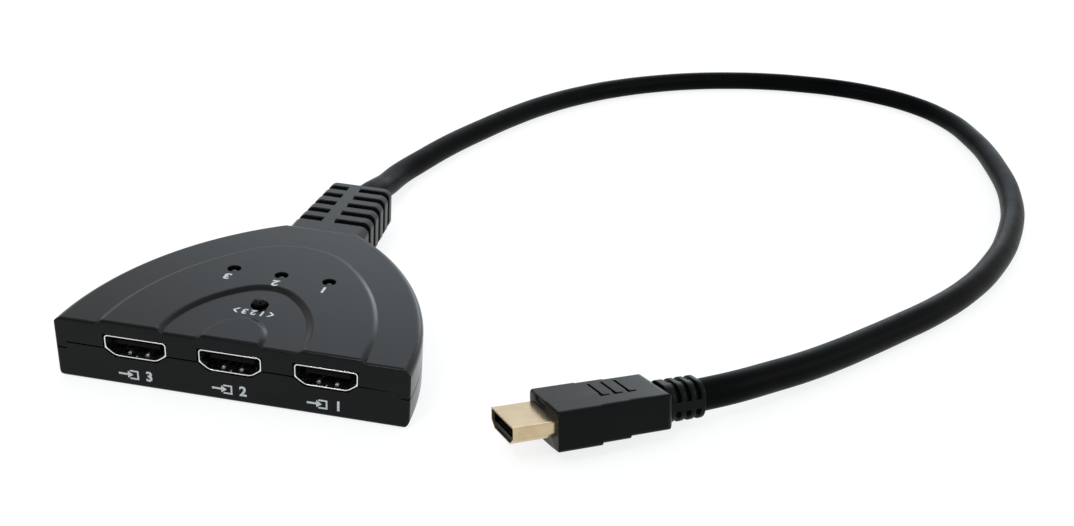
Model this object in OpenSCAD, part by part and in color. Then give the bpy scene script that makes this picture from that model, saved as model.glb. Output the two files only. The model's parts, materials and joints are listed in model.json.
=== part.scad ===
// Three-input video switch box with a push button, three lamps and a captive output lead.
// Millimetres, +Z up. The origin is at the middle of the case's underside and the ports face -Y.

/* [Case] */
// Width of the case across its widest line
case_w = 82.8; // [80:0.2:90]
// Depth of the case from the port face to the lead end
case_d = 64; // [61:0.5:66]
// Height of the case up to its lowest roof level
case_h = 15.4; // [15:0.1:18]
// Radius of the two curved sides, seen from above
side_r = 77.5; // [75:0.5:84]
// Distance from the port face to the widest line
side_start = 2; // [0:0.5:5]
// Thickness of the side walls
wall = 2; // [1.6:0.1:2.2]
// Thickness of the floor
floor_t = 1.8; // [1.4:0.1:2.2]
// Thickness of the roof at its lowest level
roof_t = 1.6; // [1.2:0.1:1.8]
// Round along the upper edge of the sides
top_round = 2.2; // [1.2:0.1:2.8]
// Round along the lower edge of the sides
base_round = 2.2; // [1.2:0.1:2.8]
// Round along the edges of the port face
face_round = 0.8; // [0.6:0.1:1.4]
// Round of the upright corners beside the port face
corner_round = 0.8; // [0.4:0.1:1.2]
// Height of the joint line between the two covers
seam_z = 7.7; // [7.6:0.1:8.2]
// Rise of the joint line along the port face
lip_rise = 1.55; // [0.8:0.05:2]
// Width of the upper cover's tab at each end of the port face
corner_tab = 2.8; // [2.4:0.1:4]

/* [Roof terraces] */
// Height of a terrace step
terrace_h = 0.8; // [0.4:0.1:1.2]
// Run of a terrace step's slope
step_run = 1.2; // [0.6:0.1:1.4]
// Half width of the outer arch at the port face
outer_half = 30.4; // [28:0.2:34]
// Reach of the outer arch from the port face
outer_reach = 50; // [47:0.5:54]
// Nose radius of the outer arch
outer_nose = 18; // [15:0.5:21]
// Half width of the middle arch at the port face
middle_half = 16.3; // [14:0.1:18]
// Reach of the middle arch from the port face
middle_reach = 26.1; // [24:0.1:28]
// Nose radius of the middle arch
middle_nose = 9; // [7.5:0.5:11]
// Half width of the inner arch at the port face
inner_half = 6.9; // [6:0.1:8]
// Reach of the inner arch from the port face
inner_reach = 11; // [10:0.1:13]
// Nose radius of the inner arch
inner_nose = 5; // [4:0.1:5.5]

/* [Input ports] */
// Spacing of the three ports
port_pitch = 22.2; // [20:0.1:22.6]
// Width of a port's opening
port_w = 14; // [13.6:0.1:14.4]
// Height of a port's opening
port_h = 4.55; // [4.4:0.05:4.8]
// Width of the narrow floor of the opening
port_floor_w = 9.6; // [8.6:0.1:10.6]
// Height of the upright part of the opening's sides
port_side_h = 2.9; // [2.4:0.1:3.4]
// Thickness of the port shells
port_sheet = 0.3; // [0.25:0.05:0.4]
// Depth of a port shell
port_d = 12; // [10.5:0.5:13]
// Setback of the shells behind the port face
port_setback = 0.2; // [0:0.1:0.5]
// Gap between a port shell and the covers
port_gap = 0.25; // [0.15:0.05:0.4]
// Width of a port's tongue
tongue_w = 10.4; // [10:0.1:11]
// Thickness of a port's tongue
tongue_t = 1.1; // [0.9:0.1:1.3]
// Height of the tongue's middle above the floor of the opening
tongue_z = 2.6; // [2.4:0.05:2.8]
// Setback of the tongue's tip behind the shell's mouth
tongue_setback = 1.5; // [1.2:0.1:2]
// Length of the insulating block behind the tongue
block_len = 3; // [2.5:0.1:3.6]
// Room behind the block for the contacts' tails
tail_room = 1.6; // [1.4:0.1:2]
// Gap between the block and its shell
block_gap = 0.05; // [0.02:0.01:0.1]
// Spacing of the contacts in one row
contact_pitch = 1; // [0.9:0.05:1.05]
// Width of a contact blade
contact_w = 0.45; // [0.3:0.05:0.6]
// Thickness of a contact blade
contact_t = 0.15; // [0.1:0.05:0.2]
// Setback of the blades behind the tongue's tip
contact_setback = 0.6; // [0.4:0.1:1]
// Width of a port shell's soldered leg
leg_w = 1.2; // [0.8:0.1:1.6]
// Distance of the front legs from the shell's mouth
leg_front = 4.4; // [4:0.1:5]
// Distance of the rear legs from the shell's mouth
leg_rear = 9.6; // [9:0.1:9.8]

/* [Circuit board] */
// Height of the board's upper face above the underside of the case
board_top = 7.4; // [7.2:0.1:7.5]
// Thickness of the board
board_t = 1.6; // [1.2:0.1:2]
// Half width of the board's front part
board_half = 31.4; // [30.6:0.1:31.8]
// Reach of the board's front part from the port face
board_reach = 39; // [38:0.5:40]
// Width of the board's rear tongue
board_tail_w = 28; // [26:1:30]
// Reach of the rear tongue from the port face
board_tail_reach = 49.5; // [49:0.1:50.5]
// Gap between the board and the covers
board_gap = 0.4; // [0.3:0.1:0.8]
// Diameter of the board's locating pins
pin_d = 1.8; // [1.4:0.1:2.2]
// Rise of the pins above the board
pin_rise = 0.8; // [0.4:0.1:1.2]
// Diameter of the pillars under the board
pillar_d = 4; // [3.4:0.2:4.4]
// Distance of the front pillars from the port face
pillar_front_y = 8; // [7:0.1:9]
// Half spacing of the rear pillars
pillar_rear_x = 21; // [19:0.2:22]
// Distance of the rear pillars from the port face
pillar_rear_y = 35.6; // [34.6:0.1:36]
// Clearance of what passes through the board
hole_gap = 0.1; // [0.06:0.02:0.14]
// Length of soldered legs below the board
leg_out = 0.8; // [0.5:0.1:1.2]

/* [Select button] */
// Distance of the button from the port face
button_y = 18.3; // [17.8:0.1:18.8]
// Diameter of the button
button_d = 3.5; // [3.2:0.1:3.6]
// Rise of the button above the roof around it
button_rise = 1.6; // [1:0.1:2.2]
// Round of the button's top edge
button_round = 1.1; // [0.6:0.1:1.4]
// Gap round the button in the roof
button_gap = 0.3; // [0.25:0.05:0.4]
// Side of the push switch's square housing
switch_w = 6; // [5.9:0.1:6.4]
// Height of the push switch's housing
switch_h = 3.3; // [3.2:0.1:3.8]
// Height of the snap dome's seat above the board
switch_seat = 1.6; // [1.4:0.1:1.7]
// Thickness of the push switch's metal plate
plate_t = 0.3; // [0.2:0.05:0.4]
// Diameter of the button's collar under the plate
collar_d = 4.2; // [4.1:0.05:4.3]
// Gap round the sliding button inside the switch
slide_gap = 0.15; // [0.1:0.01:0.2]
// Play of the button along its travel at rest
rest_gap = 0.03; // [0.02:0.01:0.05]
// Diameter of the snap dome
dome_d = 4; // [3.8:0.1:4.2]
// Rise of the snap dome
dome_rise = 0.6; // [0.5:0.05:0.7]
// Thickness of the snap dome
dome_t = 0.1; // [0.08:0.01:0.15]
// Diameter of the studs that hold the plate
stud_d = 0.7; // [0.5:0.05:0.7]
// Distance of the studs from the housing's edges
stud_in = 0.55; // [0.5:0.01:0.6]
// Width of a switch terminal
terminal_w = 0.7; // [0.5:0.1:0.9]
// Thickness of a switch terminal
terminal_t = 0.3; // [0.2:0.05:0.4]
// Half spacing of the terminals along one side
terminal_x = 2.2; // [2:0.05:2.4]

/* [Indicator lamps] */
// Distance of the lamps from the port face
led_y = 32.6; // [32:0.1:33.2]
// Spacing of the lamps
led_pitch = 12.2; // [10.6:0.1:12.6]
// Diameter of a lamp
led_d = 3; // [2.8:0.1:3.2]
// Height of a lamp from its collar's underside to its tip
led_h = 5.3; // [4.8:0.1:5.8]
// Depth of a lamp's tip below the roof
led_depth = 0.5; // [0.2:0.1:1]
// Gap round a lamp in the roof
led_gap = 0.15; // [0.1:0.05:0.25]
// Width of the collar round a lamp's foot
led_collar = 0.4; // [0.3:0.05:0.5]
// Height of the collar round a lamp's foot
led_collar_h = 1; // [0.8:0.1:1.2]
// Side of a lamp's square leg
led_leg = 0.5; // [0.4:0.05:0.6]
// Spacing of a lamp's two legs
led_leg_pitch = 2; // [1.8:0.05:2.2]

/* [Board components] */
// Side of the chip's body
chip_w = 7; // [6:0.2:7.2]
// Height of the chip's body
chip_h = 1.4; // [1:0.1:1.6]
// Gap under the chip's body
chip_lift = 0.1; // [0.05:0.05:0.2]
// Distance of the chip from the port face
chip_y = 40.6; // [40.2:0.1:41]
// Number of legs on each side of the chip
chip_legs_side = 10; // [6:1:11]
// Spacing of the chip's legs
chip_leg_pitch = 0.5; // [0.4:0.05:0.5]
// Width of a chip leg
chip_leg_w = 0.22; // [0.16:0.02:0.26]
// Reach of a chip leg from the body
chip_leg_reach = 1; // [0.8:0.1:1.1]
// Thickness of a chip leg
chip_leg_t = 0.15; // [0.1:0.05:0.2]
// Length of a capacitor or resistor
chip_part_len = 1.6; // [1.2:0.1:2]
// Width of a capacitor or resistor
chip_part_w = 0.8; // [0.5:0.1:1]
// Height of a capacitor
capacitor_h = 0.8; // [0.5:0.1:1]
// Height of a resistor
resistor_h = 0.45; // [0.3:0.05:0.6]
// Length of a diode
diode_len = 2.7; // [2.2:0.1:3]
// Width of a diode
diode_w = 1.6; // [1.2:0.1:1.8]
// Height of a diode
diode_h = 1.1; // [0.8:0.1:1.3]
// Gap between a port shell and its diode
diode_gap = 0.8; // [0.5:0.1:1]
// Gap between the chip's legs and its capacitors
capacitor_gap = 1; // [0.6:0.1:1.4]
// Spacing of the capacitors beside the chip
capacitor_pitch = 3.2; // [2.4:0.1:3.4]
// Gap between a lamp's collar and its resistor
resistor_gap = 1.1; // [0.6:0.1:1.6]

/* [Strain relief] */
// Width of the strain relief at the case
relief_w = 21.6; // [20:0.2:22]
// Width of the strain relief at its end
relief_end_w = 19.2; // [18:0.2:20]
// Height of the strain relief
relief_h = 12.2; // [11.6:0.1:12.6]
// Length of the strain relief outside the case
relief_len = 35.8; // [34:0.1:37]
// Round along the edges of the strain relief
relief_round = 2.4; // [2:0.1:3.4]
// Number of slots along each side
slot_count = 5; // [4:1:5]
// Spacing of the slots
slot_pitch = 5.8; // [5.4:0.1:5.9]
// Width of a slot
slot_w = 2.5; // [2:0.1:2.8]
// Depth of a slot
slot_depth = 1.4; // [1:0.1:1.5]
// Thickness of the last rib at the lead end
rib_end = 2.6; // [2:0.1:3]
// Width of the spine between the slots
spine_w = 3.6; // [2.8:0.1:4]
// Offset of the spine from the middle of the strain relief
spine_shift = -1.3; // [-2:0.1:2]
// Width of the neck through the case wall
neck_w = 13; // [12:0.2:13.6]
// Height of the neck through the case wall
neck_h = 9.2; // [9:0.1:9.6]
// Round along the edges of the neck
neck_round = 3; // [2.4:0.1:3.6]
// Thickness of the flange inside the case wall
flange_t = 2; // [1.6:0.1:2.4]
// Rim of the flange on each side of the neck
flange_rim = 1.2; // [0.8:0.1:1.4]
// Gap between the strain relief and the covers
neck_gap = 0.1; // [0.06:0.02:0.2]

/* [Lead] */
// Diameter of the lead
cable_d = 7.8; // [7.2:0.1:8]
// Gap between the lead and what is moulded round it
cable_fit = 0.05; // [0.02:0.01:0.08]
// Straight run of the lead where it leaves the strain relief
cable_exit = 6; // [5:0.5:8]
// Straight run of the lead where it reaches the plug
cable_entry = 10; // [8:0.5:12]
// Length of the lead's jacket inside the case
tail_len = 4; // [3.4:0.1:4.6]
// Diameter of the wires inside the lead
wire_d = 0.7; // [0.5:0.05:0.75]
// Spacing of the wires where they leave the jacket
wire_pitch = 0.85; // [0.8:0.01:0.9]
// Spacing of the wires where they are soldered
pad_pitch = 1.4; // [1.2:0.1:1.6]
// Length of a wire's soldered end on the board
pad_len = 2; // [1.4:0.1:2.4]

/* [Output plug] */
// Width of the plug's metal shell
plug_w = 13.9; // [13.7:0.05:14]
// Height of the plug's metal shell
plug_h = 4.45; // [4.4:0.01:4.5]
// Width of the narrow underside of the shell
plug_floor_w = 9.8; // [9.2:0.1:10.4]
// Height of the upright part of the shell's sides
plug_side_h = 2.9; // [2.6:0.1:3.2]
// Thickness of the plug's metal shell
plug_sheet = 0.3; // [0.25:0.05:0.35]
// Length of the plug's metal shell outside the body
plug_reach = 9.8; // [9:0.1:12]
// Length of the plug's metal shell inside the body
plug_seat = 7; // [6:0.1:8]
// Height of the plug's slot above the middle of the shell
plug_slot_rise = 0.3; // [0.2:0.05:0.4]
// Height of the plug's slot
plug_slot_h = 1.9; // [1.7:0.1:2]
// Width of the plug's slot
plug_slot_w = 11.4; // [11:0.1:11.6]
// Depth of the plug's slot
plug_slot_d = 8; // [7:0.1:8.4]
// Setback of the plug's block behind the shell's mouth
plug_setback = 0.4; // [0.2:0.1:0.6]
// Width of the plug body's front step
body_w = 17.2; // [16.8:0.1:18]
// Height of the plug body's front step
body_h = 9.4; // [9.3:0.1:10]
// Length of the plug body's front step
body_front = 10.5; // [9:0.1:12]
// Length of the plug body's middle step
body_middle = 7; // [6:0.1:8]
// Length of the plug body's rear step
body_rear = 11; // [10:0.1:12]
// Setback of each following step on its sides and underside
body_step = 0.35; // [0.2:0.05:0.4]
// Round along the edges of the front step
body_round = 1.2; // [0.6:0.1:1.4]
// Round of the plug body's rear end
body_rear_round = 2.2; // [1.8:0.1:2.6]
// Width of a grip groove
groove_w = 0.7; // [0.5:0.1:0.8]
// Depth of a grip groove
groove_depth = 0.5; // [0.4:0.1:0.7]
// Spacing of the grip grooves
groove_pitch = 3.3; // [2.6:0.1:3.4]
// Distance of the first grip groove behind the front step
groove_start = 2.6; // [2:0.1:3]
// Offset of the grip grooves from the plug's middle line
groove_shift = -1.4; // [-1.6:0.1:0]
// Length of a grip groove across the body
groove_len = 8.2; // [6:0.1:8.4]
// Length of a grip groove's hook along the body
groove_hook = 1.8; // [1.2:0.1:2]
// Number of grip grooves
groove_count = 3; // [2:1:3]
// Width of the sleeve behind the plug's body
sleeve_w = 10; // [9.8:0.1:10.4]
// Height of the sleeve behind the plug's body
sleeve_h = 9.2; // [9:0.1:9.4]
// Length of the sleeve behind the plug's body
sleeve_len = 9.6; // [9.2:0.1:11]
// Round along the edges of the sleeve
sleeve_round = 3.6; // [3:0.1:4.2]
// Width of a slot in the sleeve
sleeve_slot = 1.3; // [1.1:0.1:1.5]
// Spacing of the sleeve's slots
sleeve_pitch = 2.6; // [2.4:0.1:2.7]
// Number of the sleeve's slots
sleeve_slots = 3; // [2:1:3]
// Depth of the sleeve's slots
sleeve_cut = 0.4; // [0.3:0.05:0.45]
// Thickness of the sleeve's last rib
sleeve_end = 1.2; // [0.8:0.1:1.6]
// Height of the spine between the sleeve's slots
sleeve_spine = 2.2; // [1.6:0.1:2.8]

/* [Screws] */
// Diameter of the screws
screw_d = 2.3; // [2:0.1:2.5]
// Length of the screws under their heads
screw_len = 8; // [7:0.5:9]
// Diameter of the screw heads
screw_head_d = 4; // [3.6:0.1:4.2]
// Height of the screw heads
screw_head_h = 1.5; // [1.2:0.1:1.6]
// Depth of the screw heads below the underside
screw_sink = 0.5; // [0.3:0.1:0.8]
// Width of the cross slot in a screw head
screw_slot = 0.6; // [0.4:0.1:0.8]
// Length of the cross slot in a screw head
screw_slot_len = 2.4; // [2:0.1:2.8]
// Clearance round the screws
screw_gap = 0.1; // [0.06:0.02:0.16]
// Diameter of the screw posts
post_d = 5.6; // [5.4:0.1:5.8]
// Height where the upper posts stand on the lower ones
post_split = 4.8; // [4.4:0.1:5.2]
// Half spacing of the front posts
post_front_x = 35; // [34.8:0.1:35.4]
// Distance of the front posts from the port face
post_front_y = 8.5; // [7:0.1:10]
// Half spacing of the rear posts
post_rear_x = 21; // [20:0.1:21.4]
// Distance of the rear posts from the port face
post_rear_y = 45.2; // [44.6:0.1:45.6]

/* [Hidden] */
$fn = 64;
// Facets of the wide plan curves
plan_fn = 180;
// Overshoot of a cut past the face that it opens
cut = 1;
// Length of the cuts that pass right through the case
through = 200;
// How far a terrace's leaning walls go on below and above its step, in steps
lean_below = 1.5;
lean_above = 1;

// Levels and places in the case
front_y = -case_d / 2;
rear_y = case_d / 2;
terrace_z = case_h + terrace_h;
ceiling_z = case_h - roof_t;
side_shift = side_r - case_w / 2;
lip_z = seam_z + lip_rise;
lip_half = case_w / 2 - corner_tab;
board_low = board_top - board_t;
screw_places = [
    for (side = [-1, 1]) [side * post_front_x, front_y + post_front_y],
    for (side = [-1, 1]) [side * post_rear_x, front_y + post_rear_y]
];
pillar_places = [
    for (side = [-1, 1]) [side * port_pitch / 2, front_y + pillar_front_y],
    for (side = [-1, 1]) [side * pillar_rear_x, front_y + pillar_rear_y]
];
head_seat = screw_sink + screw_head_h;

// Places in a port, measured from its mouth and from the floor of its opening
block_back = port_d - port_sheet - tail_room;
block_front = block_back - block_len;
upper_face = tongue_z + tongue_t / 2;
lower_face = tongue_z - tongue_t / 2;
upper_count = 10;
lower_count = 9;
tail_gap = tail_room / 4;

// Levels in the push switch
button_at = [0, front_y + button_y];
switch_top = board_top + switch_h;
dome_z = board_top + switch_seat;
button_foot = dome_z + dome_rise + rest_gap;
collar_top = switch_top - rest_gap;
button_top = case_h + button_rise;
dome_r = (dome_d * dome_d / 4 + dome_rise * dome_rise) / (2 * dome_rise);
stud_at = switch_w / 2 - stud_in;

// Levels of the lamps
led_row = front_y + led_y;
led_tip = terrace_z - led_depth;
led_foot = led_tip - led_h;

// The lead and its strain relief
cable_z = seam_z;
relief_end = rear_y + relief_len;
first_slot = relief_end - rib_end - slot_w - (slot_count - 1) * slot_pitch;
flange_back = rear_y - wall - neck_gap;
flange_h = ceiling_z - floor_t - 2 * neck_gap;
tail_start = flange_back - flange_t - tail_len;
wire_count = 9;
wire_z = board_top + wire_d / 2 + rest_gap;
pad_y = front_y + board_tail_reach - pad_len;

// Where the plug lies: the middle of its body's front face, its heading and its tilt about its axis
plug_xy = [71, -29.6];
plug_heading = 210;
plug_tilt = 14;
body_len = body_front + body_middle + body_rear;
half_up = (body_h / 2 - body_round) * cos(plug_tilt);
half_across = (body_w / 2 - body_round) * sin(plug_tilt);
plug_z = half_up + half_across + body_round;
plug_ahead = [cos(plug_heading), sin(plug_heading), 0];
plug_rear = [plug_xy[0], plug_xy[1], plug_z] - (body_len + sleeve_len) * plug_ahead;

// Route of the lead's middle line, from the strain relief to the plug
cable_low = cable_d / 2;
cable_route = [
    [0, relief_end, cable_z], [0, relief_end + cable_exit, cable_z],
    [0.7, 81, 6.8], [1.4, 90, 5.3], [2.6, 104, 4.2], [6, 118, cable_low],
    [12, 138, cable_low], [20, 159, cable_low], [29, 180, cable_low], [40, 201, cable_low],
    [53, 220, cable_low], [67, 236, cable_low], [83, 250, cable_low], [99, 261, cable_low],
    [116, 269.5, cable_low], [133, 275.5, cable_low], [150, 278.5, cable_low], [167, 279, cable_low],
    [183, 275.5, cable_low], [198, 267, cable_low], [210, 251, cable_low], [217, 225, cable_low],
    [219, 192, cable_low], [216, 155, cable_low], [207, 121, cable_low], [195, 93, cable_low],
    [183, 72.5, cable_low], [171, 56.5, cable_low], [160, 44, cable_low], [150, 33, cable_low + 0.1],
    [140, 22, cable_low + 0.5], [130.5, 12, cable_low + 1.2], [122, 4, cable_low + 1.9],
    plug_rear - cable_entry * plug_ahead, plug_rear
];
cable_sides = 10;

// Port numbers run from right to left, seen from the port face
function port_x(i) = (2 - i) * port_pitch;
function led_x(i) = (2 - i) * led_pitch;

// Place of one contact in a centred row
function row_place(k, count) = (k - (count - 1) / 2) * contact_pitch;

// Direction of a route at one of its points
function route_ahead(p, i) =
    let (v = p[min(i + 1, len(p) - 1)] - p[max(i - 1, 0)])
    v / norm(v);

// Ring of a round section across a route at one of its points
function route_ring(p, i, r, sides) =
    let (t = route_ahead(p, i), x = cross([0, 0, 1], t), side = x / norm(x), up = cross(t, side))
    [for (k = [0 : sides - 1]) p[i] + r * (cos(360 * k / sides) * side + sin(360 * k / sides) * up)];

// Round tube of one solid along a route's own points
module route_tube(p, r, sides) {
    points = [for (i = [0 : len(p) - 1]) each route_ring(p, i, r, sides)];
    last = (len(p) - 1) * sides;
    walls = [
        for (i = [0 : len(p) - 2], k = [0 : sides - 1])
            let (a = i * sides + k, b = i * sides + (k + 1) % sides)
            each [[a, a + sides, b], [b, a + sides, b + sides]]
    ];
    ends = [
        for (k = [1 : sides - 2]) each [[0, k, k + 1], [last, last + k + 1, last + k]]
    ];
    polyhedron(points = points, faces = concat(walls, ends));
}

// Flat rectangle with rounded corners, centred
module soft_rect(w, h, r) {
    square([w - 2 * r, h], center = true);
    square([w, h - 2 * r], center = true);
    for (sx = [-1, 1], sy = [-1, 1])
        translate([sx * (w / 2 - r), sy * (h / 2 - r)]) circle(r);
}

// Flat shape drawn out along +Y, with its height along +Z
module along_y(length) {
    translate([0, length, 0]) rotate([90, 0, 0]) linear_extrude(length) children();
}

// Flat shape drawn out along +X, with its width along +Y and its height along +Z
module along_x(length) {
    rotate([90, 0, 90]) linear_extrude(length) children();
}

// Block that is centred on x and y and stands on z = 0
module standing_block(size) {
    translate([-size[0] / 2, -size[1] / 2, 0]) cube(size);
}

// Disc with rounded rims: two of them cross to give the curved sides
module rim_disc(high) {
    rotate_extrude($fn = plan_fn) {
        square([side_r - base_round, high - top_round]);
        translate([0, base_round]) square([side_r, high - base_round - top_round]);
        translate([0, base_round]) square([side_r - top_round, high - base_round]);
        translate([side_r - base_round, base_round]) circle(base_round);
        translate([side_r - top_round, high - top_round]) circle(top_round);
    }
}

// Side view of the case: the port face has smaller rounds than the lead end
module side_view(high) {
    translate([0, high / 2]) {
        intersection() {
            soft_rect(case_d, high, face_round);
            translate([-case_d, -high]) square([case_d, 2 * high]);
        }
        intersection() {
            soft_rect(case_d, high, top_round);
            translate([0, -high]) square([case_d, 2 * high]);
        }
    }
}

// Outer form of the closed case up to one roof level
module case_form(high) {
    intersection() {
        translate([-side_shift, front_y + side_start, 0]) rim_disc(high);
        translate([side_shift, front_y + side_start, 0]) rim_disc(high);
        translate([-case_w, 0, 0]) along_x(2 * case_w) side_view(high);
        translate([0, front_y + case_d, 0])
            linear_extrude(high) soft_rect(case_w, 2 * case_d, corner_round);
    }
}

// Plan of the case, drawn in by an inset
module case_plan(inset) {
    intersection() {
        translate([-side_shift, front_y + side_start]) circle(side_r - inset, $fn = plan_fn);
        translate([side_shift, front_y + side_start]) circle(side_r - inset, $fn = plan_fn);
        square([2 * case_w, case_d - 2 * inset], center = true);
    }
}

// Disc through the roof whose wall leans in by a run over each terrace step
module leaning_disc(r, lean) {
    cylinder(
        r1 = r + (lean_below + 1 / 2) * lean,
        r2 = r - (lean_above + 1 / 2) * lean,
        h = (lean_below + 1 + lean_above) * terrace_h,
        $fn = plan_fn
    );
}

// Sector round an arch's nose, between the lines from the middles of its two flanks
module nose_sector(shift, rise) {
    far = through / rise;
    translate([0, 0, -cut])
        linear_extrude(through)
            polygon([[0, rise], [far * shift, far * rise], [-far * shift, far * rise]]);
}

// Three-centred arch that starts at the port face, with walls that lean in towards its top
module arch(half_w, reach, nose, lean) {
    rise = reach - nose - side_start;
    spread = half_w - nose;
    shift = (rise * rise - spread * spread) / (2 * spread);
    flank = half_w + shift;
    translate([0, front_y + side_start, case_h - lean_below * terrace_h]) {
        difference() {
            intersection() {
                translate([-shift, 0, 0]) leaning_disc(flank, lean);
                translate([shift, 0, 0]) leaning_disc(flank, lean);
            }
            nose_sector(shift, rise);
        }
        intersection() {
            translate([0, rise, 0]) leaning_disc(nose, lean);
            nose_sector(shift, rise);
        }
    }
}

// The two raised terraces: the outer arch with the middle one sunk into it, and the inner arch
module terraces() {
    difference() {
        arch(outer_half, outer_reach, outer_nose, step_run);
        arch(middle_half, middle_reach, middle_nose, -step_run);
    }
    arch(inner_half, inner_reach, inner_nose, step_run);
}

// Hollow inside of the case
module case_hollow() {
    translate([0, 0, floor_t]) linear_extrude(ceiling_z - floor_t) case_plan(wall);
}

// Everything above the joint line, which steps up along the port face
module upper_space() {
    difference() {
        translate([-through / 2, -through / 2, seam_z]) cube(through);
        translate([-lip_half, front_y - cut, seam_z - cut])
            cube([2 * lip_half, wall + cut, lip_rise + cut]);
    }
}

// Outline of a port's opening with its floor on the axis, grown on every side
module port_outline(w, h, floor_w, side_h, grow) {
    lean = atan2((w - floor_w) / 2, h - side_h);
    half = w / 2 + grow;
    side_low = h - side_h - grow * tan(lean / 2);
    floor_half = floor_w / 2 + grow * tan((90 - lean) / 2);
    polygon([
        [-half, h + grow], [half, h + grow], [half, side_low],
        [floor_half, -grow], [-floor_half, -grow], [-half, side_low]
    ]);
}

// The outline of this box's ports
module input_outline(grow) {
    port_outline(port_w, port_h, port_floor_w, port_side_h, grow);
}

// Puts what is modelled at a port's mouth into its place
module at_port(i) {
    translate([port_x(i), front_y + port_setback, board_top + port_sheet]) children();
}

// Cuts through the port face for the three shells
module port_cuts() {
    for (i = [1 : 3])
        at_port(i)
            translate([0, -port_setback - cut, 0])
                along_y(wall + 2 * cut) input_outline(port_sheet + port_gap);
}

// Cut through the wall at the lead end for the neck of the strain relief
module neck_cut() {
    translate([0, rear_y - wall - cut, cable_z])
        along_y(wall + 2 * cut)
            soft_rect(neck_w + 2 * neck_gap, neck_h + 2 * neck_gap, neck_round + neck_gap);
}

module top_cover() {
    color("#2b2d30") difference() {
        union() {
            difference() {
                union() {
                    intersection() {
                        case_form(case_h);
                        upper_space();
                    }
                    intersection() {
                        case_form(terrace_z);
                        terraces();
                        upper_space();
                    }
                }
                case_hollow();
            }
            for (p = screw_places)
                translate([p[0], p[1], post_split]) cylinder(d = post_d, h = ceiling_z - post_split);
        }
        port_cuts();
        neck_cut();
        translate([button_at[0], button_at[1], ceiling_z - cut])
            cylinder(d = button_d + 2 * button_gap, h = through);
        for (i = [1 : 3])
            translate([led_x(i), led_row, ceiling_z - cut]) cylinder(d = led_d + 2 * led_gap, h = through);
        for (p = screw_places)
            translate([p[0], p[1], post_split - cut])
                cylinder(d = screw_d + 2 * screw_gap, h = head_seat + screw_len - post_split + 2 * cut);
    }
}

module bottom_cover() {
    color("#1d1e20") difference() {
        union() {
            difference() {
                case_form(case_h);
                case_hollow();
                upper_space();
            }
            for (p = screw_places)
                translate([p[0], p[1], floor_t]) cylinder(d = post_d, h = post_split - floor_t);
            for (p = pillar_places)
                translate([p[0], p[1], floor_t]) {
                    cylinder(d = pillar_d, h = board_low - floor_t);
                    cylinder(d = pin_d, h = board_top + pin_rise - floor_t);
                }
        }
        port_cuts();
        neck_cut();
        for (p = screw_places)
            translate([p[0], p[1], -cut]) {
                cylinder(d = screw_head_d + 2 * screw_gap, h = head_seat + cut);
                cylinder(d = screw_d + 2 * screw_gap, h = through);
            }
    }
}

module case_screws() {
    color("#8d9094") for (p = screw_places)
        translate([p[0], p[1], screw_sink]) difference() {
            union() {
                cylinder(d = screw_head_d, h = screw_head_h);
                cylinder(d = screw_d, h = screw_head_h + screw_len);
            }
            for (turn = [0, 90])
                rotate(turn)
                    translate([0, 0, -screw_head_h / 2])
                        standing_block([screw_slot_len, screw_slot, screw_head_h]);
        }
}

// Holes of the board for the legs of one port shell
module port_leg_holes(i) {
    for (side = [-1, 1], y = [leg_front, leg_rear])
        translate([
            port_x(i) + side * (port_w + port_sheet) / 2,
            front_y + port_setback + y
        ]) square([port_sheet + 2 * hole_gap, leg_w + 2 * hole_gap], center = true);
}

module circuit_board() {
    color("#1f5a3a") translate([0, 0, board_low]) linear_extrude(board_t) difference() {
        union() {
            intersection() {
                case_plan(wall + board_gap);
                translate([-board_half, front_y]) square([2 * board_half, board_reach]);
            }
            translate([-board_tail_w / 2, front_y + board_reach - cut])
                square([board_tail_w, board_tail_reach - board_reach + cut]);
        }
        for (p = screw_places)
            translate(p) circle(d = post_d + 2 * board_gap);
        for (p = pillar_places)
            translate(p) circle(d = pin_d + 2 * hole_gap);
        for (i = [1 : 3]) {
            port_leg_holes(i);
            for (side = [-1, 1])
                translate([led_x(i) + side * led_leg_pitch / 2, led_row])
                    square(led_leg + 2 * hole_gap, center = true);
        }
        for (sx = [-1, 1], sy = [-1, 1])
            translate([
                button_at[0] + sx * terminal_x,
                button_at[1] + sy * (switch_w + terminal_t) / 2
            ]) square([terminal_w + 2 * hole_gap, terminal_t + 2 * hole_gap], center = true);
    }
}

// Sheet-metal shell of one input, with its back, its floor opened for the tails and its four legs
module port_shell(i) {
    leg_top = port_h - port_side_h / 2;
    color("#c9ccd0") at_port(i) {
        difference() {
            along_y(port_d) input_outline(port_sheet);
            translate([0, -cut, 0]) along_y(port_d - port_sheet + cut) input_outline(0);
            translate([0, block_back + tail_room / 2, -port_sheet - cut])
                standing_block([tongue_w, tail_room, port_sheet + 2 * cut]);
        }
        for (side = [-1, 1], y = [leg_front, leg_rear])
            translate([side * (port_w + port_sheet) / 2, y, -port_sheet - board_t - leg_out])
                standing_block([port_sheet, leg_w, leg_top + port_sheet + board_t + leg_out]);
    }
}

// Insulating block of one input, with its tongue and a slit for each row of contacts
module port_insulator(i) {
    color("#141414") at_port(i) difference() {
        union() {
            translate([0, block_front, 0]) along_y(block_len) input_outline(-block_gap);
            translate([0, (tongue_setback + block_front + cut) / 2, lower_face])
                standing_block([tongue_w, block_front + cut - tongue_setback, tongue_t]);
        }
        for (z = [upper_face, lower_face - contact_t])
            translate([0, block_front + block_len / 2, z])
                standing_block([upper_count * contact_pitch, block_len + 2 * cut, contact_t]);
    }
}

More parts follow.
